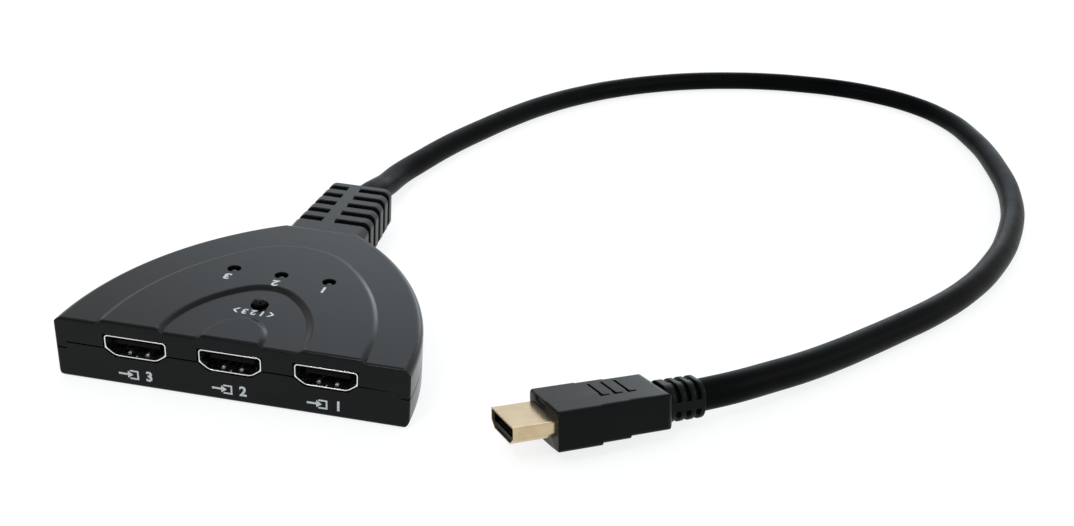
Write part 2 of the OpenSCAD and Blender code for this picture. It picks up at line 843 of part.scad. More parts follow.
// One contact: a blade along the tongue and a tail down to the board
module contact(x, z, tail_y) {
    start = tongue_setback + contact_setback;
    translate([x - contact_w / 2, start, z]) cube([contact_w, tail_y + contact_t - start, contact_t]);
    translate([x - contact_w / 2, tail_y, -port_sheet])
        cube([contact_w, contact_t, z + contact_t + port_sheet]);
}

module port_contacts(i) {
    color("#d8b45a") at_port(i) {
        for (k = [0 : upper_count - 1])
            contact(row_place(k, upper_count), upper_face, block_back + 2 * tail_gap);
        for (k = [0 : lower_count - 1])
            contact(row_place(k, lower_count), lower_face - contact_t, block_back + tail_gap);
    }
}

// Puts what is modelled on the board under the button into its place
module at_switch(z) {
    translate([button_at[0], button_at[1], z]) children();
}

// The four corners of the push switch where studs hold its plate
module at_studs() {
    for (sx = [-1, 1], sy = [-1, 1])
        translate([sx * stud_at, sy * stud_at, 0]) children();
}

module switch_housing() {
    color("#17181a") at_switch(board_top) {
        difference() {
            standing_block([switch_w, switch_w, switch_h]);
            translate([0, 0, switch_seat]) cylinder(d = collar_d + 2 * slide_gap, h = switch_h);
        }
        at_studs() cylinder(d = stud_d, h = switch_h + 2 * plate_t);
    }
}

module switch_plate() {
    color("#c4c7ca") at_switch(switch_top) difference() {
        standing_block([switch_w, switch_w, plate_t]);
        translate([0, 0, -cut]) cylinder(d = button_d + 2 * slide_gap, h = plate_t + 2 * cut);
        at_studs() translate([0, 0, -cut]) cylinder(d = stud_d + 2 * hole_gap, h = plate_t + 2 * cut);
    }
}

module switch_dome() {
    color("#b9bcc0") at_switch(dome_z) difference() {
        intersection() {
            translate([0, 0, dome_rise - dome_r]) sphere(dome_r);
            standing_block([switch_w, switch_w, dome_rise]);
        }
        translate([0, 0, dome_rise - dome_r]) sphere(dome_r - dome_t);
    }
}

module switch_terminals() {
    color("#d0d2d4") for (sx = [-1, 1], sy = [-1, 1])
        at_switch(board_low - leg_out)
            translate([sx * terminal_x, sy * (switch_w + terminal_t) / 2, 0])
                standing_block([terminal_w, terminal_t, board_t + leg_out + switch_seat]);
}

module select_button() {
    color("#101113") at_switch(0) rotate_extrude() {
        translate([0, button_foot]) square([collar_d / 2, collar_top - button_foot]);
        translate([0, button_foot]) square([button_d / 2, button_top - button_round - button_foot]);
        translate([0, button_foot]) square([button_d / 2 - button_round, button_top - button_foot]);
        translate([button_d / 2 - button_round, button_top - button_round]) intersection() {
            circle(button_round);
            square(button_round);
        }
    }
}

module led(i) {
    color("#d9dcdf") translate([led_x(i), led_row, led_foot]) {
        cylinder(d = led_d + 2 * led_collar, h = led_collar_h);
        cylinder(d = led_d, h = led_h - led_d / 2);
        translate([0, 0, led_h - led_d / 2]) sphere(d = led_d);
    }
}

module led_leads() {
    color("#d0d2d4") for (i = [1 : 3], side = [-1, 1])
        translate([led_x(i) + side * led_leg_pitch / 2, led_row, board_low - leg_out])
            standing_block([led_leg, led_leg, led_foot - board_low + leg_out]);
}

// Puts what is modelled round the chip's middle onto the board
module at_chip(z) {
    translate([0, front_y + chip_y, board_top + z]) children();
}

module switch_chip() {
    color("#1b1c1e") at_chip(chip_lift) standing_block([chip_w, chip_w, chip_h]);
}

// Bent legs on the four sides of the chip
module chip_legs() {
    shoulder = chip_lift + chip_h / 2;
    knee = chip_leg_reach / 2;
    color("#c6c9cc") at_chip(0) for (turn = [0 : 90 : 270], k = [0 : chip_legs_side - 1])
        rotate(turn)
            translate([chip_w / 2, (k - (chip_legs_side - 1) / 2) * chip_leg_pitch - chip_leg_w / 2, 0]) {
                translate([0, 0, shoulder - chip_leg_t]) cube([knee, chip_leg_w, chip_leg_t]);
                translate([knee - chip_leg_t, 0, 0]) cube([chip_leg_t, chip_leg_w, shoulder]);
                translate([knee - chip_leg_t, 0, 0])
                    cube([chip_leg_reach - knee + chip_leg_t, chip_leg_w, chip_leg_t]);
            }
}

module board_capacitors() {
    x = chip_w / 2 + chip_leg_reach + capacitor_gap + chip_part_w / 2;
    color("#a9885e") for (side = [-1, 1], k = [-1, 0, 1])
        at_chip(0)
            translate([side * x, k * capacitor_pitch, 0])
                standing_block([chip_part_w, chip_part_len, capacitor_h]);
}

module board_resistors() {
    y = led_row - led_d / 2 - led_collar - resistor_gap - chip_part_w / 2;
    color("#202124") for (i = [1 : 3])
        translate([led_x(i), y, board_top]) standing_block([chip_part_len, chip_part_w, resistor_h]);
}

module board_diodes() {
    y = front_y + port_setback + port_d + diode_gap + diode_w / 2;
    color("#26282b") for (i = [1 : 3])
        translate([port_x(i), y, board_top]) standing_block([diode_len, diode_w, diode_h]);
}

// Ribbed boot: ribs round a smaller core, with a spine above and below, and a neck and flange in the case
module strain_relief() {
    rib_starts = [rear_y, for (k = [0 : slot_count - 1]) first_slot + k * slot_pitch + slot_w];
    rib_ends = [for (k = [0 : slot_count - 1]) first_slot + k * slot_pitch, relief_end];
    core_w = min(relief_w, relief_end_w) - 2 * slot_depth;
    color("#26282a") difference() {
        union() {
            for (k = [0 : slot_count])
                let (share = k / slot_count, w = relief_w + (relief_end_w - relief_w) * share)
                translate([0, rib_starts[k], cable_z])
                    along_y(rib_ends[k] - rib_starts[k]) soft_rect(w, relief_h, relief_round);
            translate([0, rear_y, cable_z])
                along_y(relief_len)
                    soft_rect(core_w, relief_h - 2 * slot_depth, relief_round - slot_depth);
            translate([spine_shift, rear_y, cable_z])
                along_y(relief_len) square([spine_w, relief_h], center = true);
            translate([0, flange_back - cut, cable_z])
                along_y(rear_y - flange_back + 2 * cut) soft_rect(neck_w, neck_h, neck_round);
            translate([0, flange_back - flange_t, (ceiling_z + floor_t) / 2])
                along_y(flange_t) soft_rect(neck_w + 2 * flange_rim, flange_h, neck_round);
        }
        translate([0, tail_start, cable_z])
            along_y(through) circle(d = cable_d + 2 * cable_fit);
    }
}

module cable_tail() {
    color("#151516") translate([0, tail_start, cable_z])
        along_y(relief_end - tail_start) circle(d = cable_d);
}

// Wires of the lead, fanned out from the jacket to the board
module cable_wires() {
    color("#b04a3a") for (k = [0 : wire_count - 1]) {
        place = k - (wire_count - 1) / 2;
        from = [place * wire_pitch, tail_start - wire_d / 2];
        to = [place * pad_pitch, pad_y];
        heading = atan2(to[1] - from[1], to[0] - from[0]);
        translate([from[0], from[1], wire_z])
            rotate([0, 90, heading]) cylinder(d = wire_d, h = norm(to - from));
    }
}

module output_cable() {
    color("#151516") route_tube(cable_route, cable_d / 2, cable_sides);
}

// Puts what is modelled along the plug's axis into its place: +X towards its mouth, +Z its wide side
module at_plug() {
    translate([plug_xy[0], plug_xy[1], plug_z]) rotate([plug_tilt, 0, plug_heading]) children();
}

// Outline of the plug's shell, centred on the plug's axis
module plug_outline(grow) {
    translate([0, -plug_h / 2]) port_outline(plug_w, plug_h, plug_floor_w, plug_side_h, grow);
}

// Rear step of the plug's body, rounded at its back seen from above and from the side
module body_rear_step(w, h) {
    intersection() {
        translate([-body_len, 0, 0]) along_x(body_rear + cut) soft_rect(w, h, body_round);
        translate([cut - body_len + body_rear, 0, -body_h])
            linear_extrude(2 * body_h) soft_rect(2 * (body_rear + cut), w, body_rear_round);
        translate([cut - body_len + body_rear, body_w, 0])
            rotate([90, 0, 0])
                linear_extrude(2 * body_w) soft_rect(2 * (body_rear + cut), h, body_rear_round);
    }
}

// Hooked grip grooves on the plug's upper face
module grip_grooves() {
    for (k = [0 : groove_count - 1])
        translate([
            -body_front - groove_start - k * groove_pitch,
            groove_shift,
            body_h / 2 - groove_depth
        ]) {
            standing_block([groove_w, groove_len, body_h]);
            translate([-groove_hook / 2, groove_len / 2 - groove_w / 2, 0])
                standing_block([groove_hook, groove_w, body_h]);
        }
}

// Moulded body of the plug: three steps that share one upper face
module plug_body() {
    color("#1c1d1f") at_plug() difference() {
        union() {
            translate([-body_front, 0, 0]) along_x(body_front) soft_rect(body_w, body_h, body_round);
            translate([-body_front - body_middle, 0, body_step / 2])
                along_x(body_middle + cut)
                    soft_rect(body_w - 2 * body_step, body_h - body_step, body_round);
            translate([0, 0, body_step])
                body_rear_step(body_w - 4 * body_step, body_h - 2 * body_step);
        }
        translate([-plug_seat, 0, 0]) along_x(plug_seat + cut) plug_outline(cable_fit);
        translate([-body_len - cut, 0, 0])
            along_x(body_rear + cut) circle(d = cable_d + 2 * cable_fit);
        grip_grooves();
    }
}

// Ribbed sleeve behind the plug's body, with slots above and below and a spine on each side
module plug_relief() {
    rear = -body_len - sleeve_len;
    color("#1c1d1f") at_plug() difference() {
        translate([rear, 0, 0]) along_x(sleeve_len) soft_rect(sleeve_w, sleeve_h, sleeve_round);
        translate([rear - cut, 0, 0]) along_x(sleeve_len + 2 * cut) circle(d = cable_d + 2 * cable_fit);
        for (k = [0 : sleeve_slots - 1], side = [-1, 1])
            translate([rear + sleeve_end + k * sleeve_pitch, 0, 0])
                along_x(sleeve_slot) difference() {
                    translate([0, side * (sleeve_spine + sleeve_h) / 2])
                        square([2 * sleeve_w, sleeve_h], center = true);
                    circle(d = sleeve_h - 2 * sleeve_cut);
                }
    }
}

module plug_cable_end() {
    color("#151516") at_plug()
        translate([-body_len - sleeve_len, 0, 0]) along_x(sleeve_len + body_rear) circle(d = cable_d);
}

module plug_shell() {
    color("#d9bd86") at_plug() translate([-plug_seat, 0, 0]) along_x(plug_seat + plug_reach) difference() {
        plug_outline(0);
        plug_outline(-plug_sheet);
    }
}

module plug_insulator() {
    color("#121212") at_plug() difference() {
        translate([-plug_seat, 0, 0])
            along_x(plug_seat + plug_reach - plug_setback) plug_outline(-plug_sheet - block_gap);
        translate([plug_reach - plug_slot_d, -plug_slot_w / 2, plug_slot_rise - plug_slot_h / 2])
            cube([plug_slot_d + cut, plug_slot_w, plug_slot_h]);
    }
}

// Contact strips on the two walls of the plug's slot
module plug_contacts() {
    strip = plug_slot_d - plug_setback - contact_setback;
    start = plug_reach - plug_slot_d;
    low = plug_slot_rise - plug_slot_h / 2;
    color("#d8b45a") at_plug() {
        for (k = [0 : upper_count - 1])
            translate([start, row_place(k, upper_count) - contact_w / 2, low + plug_slot_h - contact_t])
                cube([strip, contact_w, contact_t]);
        for (k = [0 : lower_count - 1])
            translate([start, row_place(k, lower_count) - contact_w / 2, low])
                cube([strip, contact_w, contact_t]);
    }
}

top_cover();
bottom_cover();
case_screws();
circuit_board();
port_shell(1);  // port_shell_1
port_shell(2);  // port_shell_2
port_shell(3);  // port_shell_3
port_insulator(1);  // port_insulator_1
port_insulator(2);  // port_insulator_2
port_insulator(3);  // port_insulator_3
port_contacts(1);  // port_contacts_1
port_contacts(2);  // port_contacts_2
port_contacts(3);  // port_contacts_3
switch_housing();
switch_plate();
switch_dome();
switch_terminals();
select_button();
led(1);  // led_1
led(2);  // led_2
led(3);  // led_3
led_leads();
switch_chip();
chip_legs();
board_capacitors();
board_resistors();
board_diodes();
strain_relief();
cable_tail();
cable_wires();
output_cable();
plug_body();
plug_relief();
plug_cable_end();
plug_shell();
plug_insulator();
plug_contacts();
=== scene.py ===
"""Studio picture of a three-input video switch box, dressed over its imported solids.

Lengths are metres. The frame is the part's own: +Z up, and the inputs face -Y.
"""

from __future__ import annotations

import json
import logging
import math
from collections.abc import Callable, Sequence
from dataclasses import dataclass, field, replace
from enum import Enum
from typing import Any

import bmesh
import bpy
from mathutils import Matrix, Vector

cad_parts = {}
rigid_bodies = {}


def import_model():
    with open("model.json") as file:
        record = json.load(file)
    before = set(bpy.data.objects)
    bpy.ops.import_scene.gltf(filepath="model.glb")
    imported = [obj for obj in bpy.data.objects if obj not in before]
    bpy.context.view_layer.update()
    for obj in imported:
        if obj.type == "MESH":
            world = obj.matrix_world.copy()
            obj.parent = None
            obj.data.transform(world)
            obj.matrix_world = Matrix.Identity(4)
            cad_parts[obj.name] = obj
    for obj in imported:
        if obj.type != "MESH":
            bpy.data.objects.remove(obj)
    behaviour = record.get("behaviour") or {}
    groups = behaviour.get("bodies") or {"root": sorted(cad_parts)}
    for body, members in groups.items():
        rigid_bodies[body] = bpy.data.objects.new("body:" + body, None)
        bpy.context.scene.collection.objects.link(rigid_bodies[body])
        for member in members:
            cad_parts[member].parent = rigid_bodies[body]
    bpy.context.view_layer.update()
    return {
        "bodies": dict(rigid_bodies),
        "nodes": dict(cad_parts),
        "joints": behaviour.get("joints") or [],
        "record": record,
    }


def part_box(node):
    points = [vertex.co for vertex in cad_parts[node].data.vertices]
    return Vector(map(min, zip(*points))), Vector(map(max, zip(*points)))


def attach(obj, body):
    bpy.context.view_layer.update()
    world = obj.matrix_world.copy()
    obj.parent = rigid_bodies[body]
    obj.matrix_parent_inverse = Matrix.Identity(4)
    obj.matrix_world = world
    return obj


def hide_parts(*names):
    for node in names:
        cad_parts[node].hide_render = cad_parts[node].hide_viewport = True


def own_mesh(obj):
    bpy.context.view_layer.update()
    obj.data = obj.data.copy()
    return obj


Colour = tuple[float, float, float]
Point = tuple[float, float, float]
Corner = tuple[float, float]
Band = tuple[float, float]
Work = bmesh.types.BMesh

LOG = logging.getLogger("switch_box")
MM = 0.001
CASE_BODY = "case"
INPUTS = (1, 2, 3)
MIDDLE_INPUT = 2
WHITE: Colour = (1.0, 1.0, 1.0)
ACROSS = Vector((1, 0, 0))
UP = Vector((0, 0, 1))
# The material slots of a round: the joint line's painted shadow, or that of the faces beside it.
JOINT_SHADOW_SLOT, FACE_SLOT = 1, -1
# The places of the colour sockets on a Mix node.
COLOUR_A, COLOUR_B, COLOUR_OUT = 6, 7, 2


class EdgeKind(Enum):
    """What a rounded edge belongs to, by the layer that holds its weight."""

    # Edges of the joint line, whose rounds carry the painted shadow of the gap between the covers.
    JOINT = "joint_weight"
    ROUND = "bevel_weight_edge"


class Wire:
    """An output of a shader node that takes part in Python expressions."""

    def __init__(self, tree: ShaderTree, socket: bpy.types.NodeSocket) -> None:
        """Wraps one socket of a tree."""
        self.tree = tree
        self.socket = socket

    def maths(self, operation: str, first: Any, second: Any) -> Wire:
        """The output of a new Math node over two values or links."""
        return self.tree.node("ShaderNodeMath", {"operation": operation}, {0: first, 1: second})

    def __add__(self, other: Any) -> Wire:
        """This plus other."""
        return self.maths("ADD", self, other)

    def __radd__(self, other: Any) -> Wire:
        """Other plus this."""
        return self.maths("ADD", other, self)

    def __sub__(self, other: Any) -> Wire:
        """This less other."""
        return self.maths("SUBTRACT", self, other)

    def __rsub__(self, other: Any) -> Wire:
        """Other less this."""
        return self.maths("SUBTRACT", other, self)

    def __mul__(self, other: Any) -> Wire:
        """This times other."""
        return self.maths("MULTIPLY", self, other)

    def __rmul__(self, other: Any) -> Wire:
        """Other times this."""
        return self.maths("MULTIPLY", other, self)

    def ramp(self, low: float, high: float) -> Wire:
        """A smooth rise from 0 at low to 1 at high."""
        inputs = {"Value": self, "From Min": low, "From Max": high}
        return self.tree.node("ShaderNodeMapRange", {"interpolation_type": "SMOOTHSTEP"}, inputs)


@dataclass(frozen=True)
class Noise:
    """Cloudy noise, by the size of its features and the number of its finer layers."""

    size: float
    detail: float


class ShaderTree:
    """The node tree of a material or a world."""

    def __init__(self, owner: bpy.types.Material | bpy.types.World) -> None:
        """Starts an empty tree.

        Args:
            owner: The material or world that it belongs to.
        """
        owner.use_nodes = True
        self.tree = owner.node_tree
        self.tree.nodes.clear()

    def node(
        self,
        kind: str,
        settings: dict[str, Any] | None = None,
        inputs: dict[str | int, Any] | None = None,
        output: str | int = 0,
    ) -> Wire:
        """Adds any node.

        Args:
            kind: The node's type.
            settings: Its own settings, which are set first.
            inputs: The values or links of its sockets.
            output: Which output to hand on.

        Returns:
            That output.
        """
        made = self.tree.nodes.new(kind)
        for name, value in (settings or {}).items():
            setattr(made, name, value)
        for name, value in (inputs or {}).items():
            socket = made.inputs[name]
            if isinstance(value, Wire):
                self.tree.links.new(value.socket, socket)
            elif socket.type == "RGBA":
                socket.default_value = (*value, 1.0)
            else:
                socket.default_value = value
        return Wire(self, made.outputs[output])

    def ray(self, kind: str) -> Wire:
        """Whether the ray that meets the surface is of one kind."""
        return self.node("ShaderNodeLightPath", output=f"Is {kind} Ray")

    def shown(self) -> Wire:
        """Whether a ray shows the surface, to the camera, in a reflection or through glass."""
        return self.ray("Camera") + self.ray("Glossy") + self.ray("Transmission")

    def place(self) -> Wire:
        """The point on the object, in metres."""
        return self.node("ShaderNodeTexCoord", output="Object")

    def stretched(self, scale: Point) -> Wire:
        """The point on the object, scaled along each axis."""
        inputs = {0: self.place(), 1: scale}
        return self.node("ShaderNodeVectorMath", {"operation": "MULTIPLY"}, inputs)

    def noise(self, kind: Noise, place: Wire | None = None) -> Wire:
        """Noise round one half, read at a place or else at the point on the object."""
        inputs = {"Vector": place or self.place(), "Scale": 1.0 / kind.size, "Detail": kind.detail}
        return self.node("ShaderNodeTexNoise", None, inputs)

    def mix(self, factor: Any, first: Any, second: Any) -> Wire:
        """A colour between two colours."""
        inputs = {"Factor": factor, COLOUR_A: first, COLOUR_B: second}
        return self.node("ShaderNodeMix", {"data_type": "RGBA"}, inputs, COLOUR_OUT)

    def bump(self, height: Wire, depth: float) -> Wire:
        """Normals of a relief of one depth."""
        return self.node("ShaderNodeBump", None, {"Height": height, "Distance": depth})

    def surface(self, **inputs: Any) -> Wire:
        """A Principled surface, with its sockets named by words joined with underscores."""
        named = {name.replace("_", " "): value for name, value in inputs.items()}
        return self.node("ShaderNodeBsdfPrincipled", None, named)

    def glow(self, kind: str, colour: Colour, strength: float) -> Wire:
        """A shader that gives light, as a background or as an emission."""
        return self.node(f"ShaderNode{kind}", None, {"Color": colour, "Strength": strength})

    def blend(self, factor: Wire, first: Wire, second: Wire) -> Wire:
        """A shader between two shaders."""
        return self.node("ShaderNodeMixShader", None, {0: factor, 1: first, 2: second})

    def close(self, shader: Wire, kind: str = "ShaderNodeOutputMaterial") -> None:
        """Joins a finished shader to the tree's output."""
        end = self.tree.nodes.new(kind)
        self.tree.links.new(shader.socket, end.inputs["Surface"])


@dataclass(frozen=True)
class Finish:
    """A surface finish that is built once and shared."""

    name: str

    def shade(self, tree: ShaderTree) -> Wire:
        """The finish's shader in an empty tree."""
        raise NotImplementedError

    def material(self) -> bpy.types.Material:
        """Makes the finish's material at its first use.

        Returns:
            The material.
        """
        title = f"{self.name}_finish"
        found = bpy.data.materials.get(title)
        if found is None:
            found = bpy.data.materials.new(title)
            tree = ShaderTree(found)
            tree.close(self.shade(tree))
        return found

    def put_on(self, data: bpy.types.Mesh | bpy.types.Curve) -> None:
        """Makes this the only finish of a mesh or a curve."""
        data.materials.clear()
        data.materials.append(self.material())


@dataclass(frozen=True)
class MouldedPlastic(Finish):
    """Moulded plastic with a fine grain, faint clouding and a little dust."""

    dark: Colour
    light: Colour
    gloss: float = 0.132
    roughness: float = 0.22
    dust: float = 0.0
    dust_colour: Colour = (0.3, 0.3, 0.29)
    clouds: Noise = Noise(9 * MM, 4.0)
    clouded: Band = (0.3, 0.7)
    cloud_roughness: float = 0.08
    grain: Noise = Noise(0.3 * MM, 3.0)
    grain_roughness: float = 0.06
    relief: float = 0.004 * MM
    specks: Noise = Noise(0.28 * MM, 1.0)
    speckled: Band = (0.76, 0.8)
    dusty: Band = (0.5, 0.65)

    def shade(self, tree: ShaderTree) -> Wire:
        """Builds the plastic.

        Args:
            tree: An empty tree.

        Returns:
            The shader.
        """
        clouds = tree.noise(self.clouds)
        grain = tree.noise(self.grain)
        colour = tree.mix(clouds.ramp(*self.clouded), self.dark, self.light)
        specks = tree.noise(self.specks).ramp(*self.speckled) * clouds.ramp(*self.dusty)
        least = self.roughness - (self.cloud_roughness + self.grain_roughness) / 2
        return tree.surface(
            Base_Color=tree.mix(specks * self.dust, colour, self.dust_colour),
            Roughness=clouds * self.cloud_roughness + grain * self.grain_roughness + least,
            Specular_IOR_Level=self.gloss,
            Normal=tree.bump(grain, self.relief),
        )


@dataclass(frozen=True)
class PlatedMetal(Finish):
    """Thin bright plate on sheet metal, with fine drawing lines and faint staining."""

    bright: Colour
    stained: Colour
    roughness: float = 0.2
    drawn: Point = (1.0, 0.08, 1.0)
    lines: Noise = Noise(0.12 * MM, 2.0)
    line_roughness: float = 0.12
    relief: float = 0.002 * MM
    stains: Noise = Noise(2.5 * MM, 3.0)
    stain: Band = (0.35, 0.75)
    stain_roughness: float = 0.1

    def shade(self, tree: ShaderTree) -> Wire:
        """Builds the plate.

        Args:
            tree: An empty tree.

        Returns:
            The shader.
        """
        lines = tree.noise(self.lines, tree.stretched(self.drawn))
        stains = tree.noise(self.stains)
        least = self.roughness - (self.line_roughness + self.stain_roughness) / 2
        return tree.surface(
            Base_Color=tree.mix(stains.ramp(*self.stain), self.bright, self.stained),
            Metallic=1.0,
            Roughness=lines * self.line_roughness + stains * self.stain_roughness + least,
            Normal=tree.bump(lines, self.relief),
        )


@dataclass(frozen=True)
class LeadJacket(Finish):
    """Smooth extruded jacket with faint waves along it and handling marks."""

    dark: Colour
    light: Colour
    gloss: float = 0.02
    least_roughness: float = 0.27
    waves: Noise = Noise(16 * MM, 2.0)
    waved: Band = (0.3, 0.7)
    wave_roughness: float = 0.1
    marks: Noise = Noise(3 * MM, 4.0)
    marked: Band = (0.55, 0.75)
    mark_roughness: float = 0.08
    skin: Noise = Noise(0.6 * MM, 3.0)
    skin_share: float = 0.02
    relief: float = 0.25 * MM

    def shade(self, tree: ShaderTree) -> Wire:
        """Builds the jacket.

        Args:
            tree: An empty tree.

        Returns:
            The shader.
        """
        skin = tree.noise(self.skin)
        waves = tree.noise(self.waves)
        marks = tree.noise(self.marks).ramp(*self.marked)
        worn = waves * self.wave_roughness + marks * self.mark_roughness
        height = skin * self.skin_share + waves * (1 - self.skin_share)
        return tree.surface(
            Base_Color=tree.mix(waves.ramp(*self.waved), self.dark, self.light),
            Roughness=worn + self.least_roughness,
            Specular_IOR_Level=self.gloss,
            Normal=tree.bump(height, self.relief),
        )


@dataclass(frozen=True)
class PolishedPlastic(Finish):
    """Smooth glossy plastic with faint scuffs."""

    colour: Colour
    scuffed: Colour
    roughness: float = 0.4
    gloss: float = 0.4
    scuffs: Noise = Noise(0.5 * MM, 4.0)
    scuff: Band = (0.5, 0.8)
    scuff_roughness: float = 0.2
    relief: float = 0.004 * MM

    def shade(self, tree: ShaderTree) -> Wire:
        """Builds the plastic.

        Args:
            tree: An empty tree.

        Returns:
            The shader.
        """
        scuffs = tree.noise(self.scuffs).ramp(*self.scuff)
        return tree.surface(
            Base_Color=tree.mix(scuffs, self.colour, self.scuffed),
            Roughness=scuffs * self.scuff_roughness + self.roughness,
            Specular_IOR_Level=self.gloss,
            Normal=tree.bump(scuffs, self.relief),
        )


@dataclass(frozen=True)
class SolderMask(Finish):
    """Circuit board with a green mask over faint tracks."""

    mask: Colour
    track: Colour
    track_scale: float = 260.0
    track_wander: float = 3.0
    track_detail: float = 1.0
    tracked: Band = (0.55, 0.62)
    relief: float = 0.03 * MM
    weave: Noise = Noise(0.4 * MM, 2.0)
    weave_roughness: float = 0.2
    least_roughness: float = 0.25

    def shade(self, tree: ShaderTree) -> Wire:
        """Builds the board.

        Args:
            tree: An empty tree.

        Returns:
            The shader.
        """
        settings = {"wave_type": "BANDS", "bands_direction": "DIAGONAL"}
        inputs = {
            "Vector": tree.place(),
            "Scale": self.track_scale,
            "Distortion": self.track_wander,
            "Detail": self.track_detail,
        }
        waves = tree.node("ShaderNodeTexWave", settings, inputs, output="Fac")
        tracks = waves.ramp(*self.tracked)
        return tree.surface(
            Base_Color=tree.mix(tracks, self.mask, self.track),
            Roughness=tree.noise(self.weave) * self.weave_roughness + self.least_roughness,
            Normal=tree.bump(tracks, self.relief),
        )


@dataclass(frozen=True)
class PrintInk(Finish):
    """Opaque printed ink with thin spots."""

    ink: Colour
    thin: Colour
    gloss: float = 0.2
    least_roughness: float = 0.4
    spots: Noise = Noise(0.35 * MM, 3.0)
    spotted: Band = (0.55, 0.8)
    spot_roughness: float = 0.2
    relief: float = 0.004 * MM

    def shade(self, tree: ShaderTree) -> Wire:
        """Builds the ink.

        Args:
            tree: An empty tree.

        Returns:
            The shader.
        """
        spots = tree.noise(self.spots)
        return tree.surface(
            Base_Color=tree.mix(spots.ramp(*self.spotted), self.ink, self.thin),
            Roughness=spots * self.spot_roughness + self.least_roughness,
            Specular_IOR_Level=self.gloss,
            Normal=tree.bump(spots, self.relief),
        )


class Finishes:
    """All finishes of the box, its lead and its plug."""

    COVER = MouldedPlastic(
        "cover_plastic", (0.0020, 0.0023, 0.0025), (0.0030, 0.0034, 0.0036), dust=0.25
    )
    BASE = replace(COVER, name="base_plastic", dust=0.15)
    # Near-black matt faces on the joint line's rounds: painted shadow of the gap between the covers.
    JOINT = MouldedPlastic(
        "joint_shadow", (0.0008, 0.0008, 0.0009), (0.0012, 0.0012, 0.0013), gloss=0.0, roughness=0.7
    )
    BOOT = MouldedPlastic(
        "boot_rubber", (0.0050, 0.0056, 0.0058), (0.0072, 0.0080, 0.0082), gloss=0.14, roughness=0.3
    )
    MOULD = MouldedPlastic(
        "plug_mould", (0.0014, 0.0018, 0.0019), (0.0024, 0.0029, 0.003), gloss=0.088, roughness=0.26
    )
    BLOCK = MouldedPlastic(
        "insulator_plastic", (0.002, 0.002, 0.002), (0.003, 0.003, 0.003), gloss=0.05, roughness=0.4
    )
    JACKET = LeadJacket("lead_jacket", (0.0015, 0.0017, 0.0018), (0.0024, 0.0027, 0.0028))
    NICKEL = PlatedMetal("port_nickel", (0.80, 0.81, 0.82), (0.66, 0.66, 0.66), roughness=0.22)
    SPRING = PlatedMetal("spring_steel", (0.40, 0.40, 0.40), (0.30, 0.30, 0.30), roughness=0.34)
    GOLD = PlatedMetal("plug_gold", (0.56, 0.44, 0.28), (0.51, 0.39, 0.24), roughness=0.24)
    CONTACT = PlatedMetal("contact_gold", (0.62, 0.46, 0.22), (0.46, 0.32, 0.14), roughness=0.3)
    TIN = PlatedMetal("tinned_metal", (0.72, 0.73, 0.74), (0.58, 0.58, 0.58), roughness=0.3)
    ZINC = PlatedMetal(
        "screw_zinc", (0.56, 0.57, 0.58), (0.42, 0.42, 0.41), roughness=0.32, drawn=(1.0, 1.0, 1.0)
    )
    BUTTON = PolishedPlastic(
        "button_plastic", (0.0015, 0.0015, 0.0018), (0.003, 0.003, 0.0035), roughness=0.06, gloss=0.09
    )
    LENS = PolishedPlastic("lamp_lens", (0.012, 0.013, 0.014), (0.02, 0.021, 0.022), roughness=0.1)
    EPOXY = PolishedPlastic("chip_epoxy", (0.012, 0.012, 0.013), (0.02, 0.02, 0.02))
    CERAMIC = PolishedPlastic(
        "capacitor_ceramic", (0.42, 0.29, 0.17), (0.34, 0.22, 0.12), roughness=0.35
    )
    WIRE = PolishedPlastic("wire_insulation", (0.42, 0.07, 0.05), (0.34, 0.05, 0.04))
    BOARD = SolderMask("board_mask", (0.012, 0.10, 0.045), (0.02, 0.15, 0.07))
    INK = PrintInk("white_ink", (0.62, 0.64, 0.64), (0.42, 0.44, 0.44))


def placed(name: str, data: bpy.types.ID) -> bpy.types.Object:
    """Makes an object and puts it into the scene.

    Args:
        name: The object's name.
        data: Its mesh, curve, camera or light.

    Returns:
        The new object.
    """
    made = bpy.data.objects.new(name, data)
    bpy.context.scene.collection.objects.link(made)
    return made


@dataclass(frozen=True)
class SharpEdge:
    """Where a sharp edge of a solid lies and how it runs."""

    middle: Vector
    along: Vector
    length: float
    convex: bool


@dataclass(frozen=True)
class Rounding:
    """A radius for the sharp edges that a test picks."""

    radius: float
    picks: Callable[[SharpEdge], bool]
    kind: EdgeKind = EdgeKind.ROUND


@dataclass(frozen=True)
class Split:
    """A plane along which a solid's faces are split, so that none runs round an opening."""

    place: Vector
    across: Vector

    def cut(self, work: Work) -> None:
        """Splits the faces of a work mesh and marks the new edges as seams.

        Args:
            work: The work mesh.
        """
        everything = [*work.verts, *work.edges, *work.faces]
        plane = {"plane_co": self.place, "plane_no": self.across}
        made = bmesh.ops.bisect_plane(work, geom=everything, **plane)
        for part in made["geom_cut"]:
            if isinstance(part, bmesh.types.BMEdge):
                part.seam = True


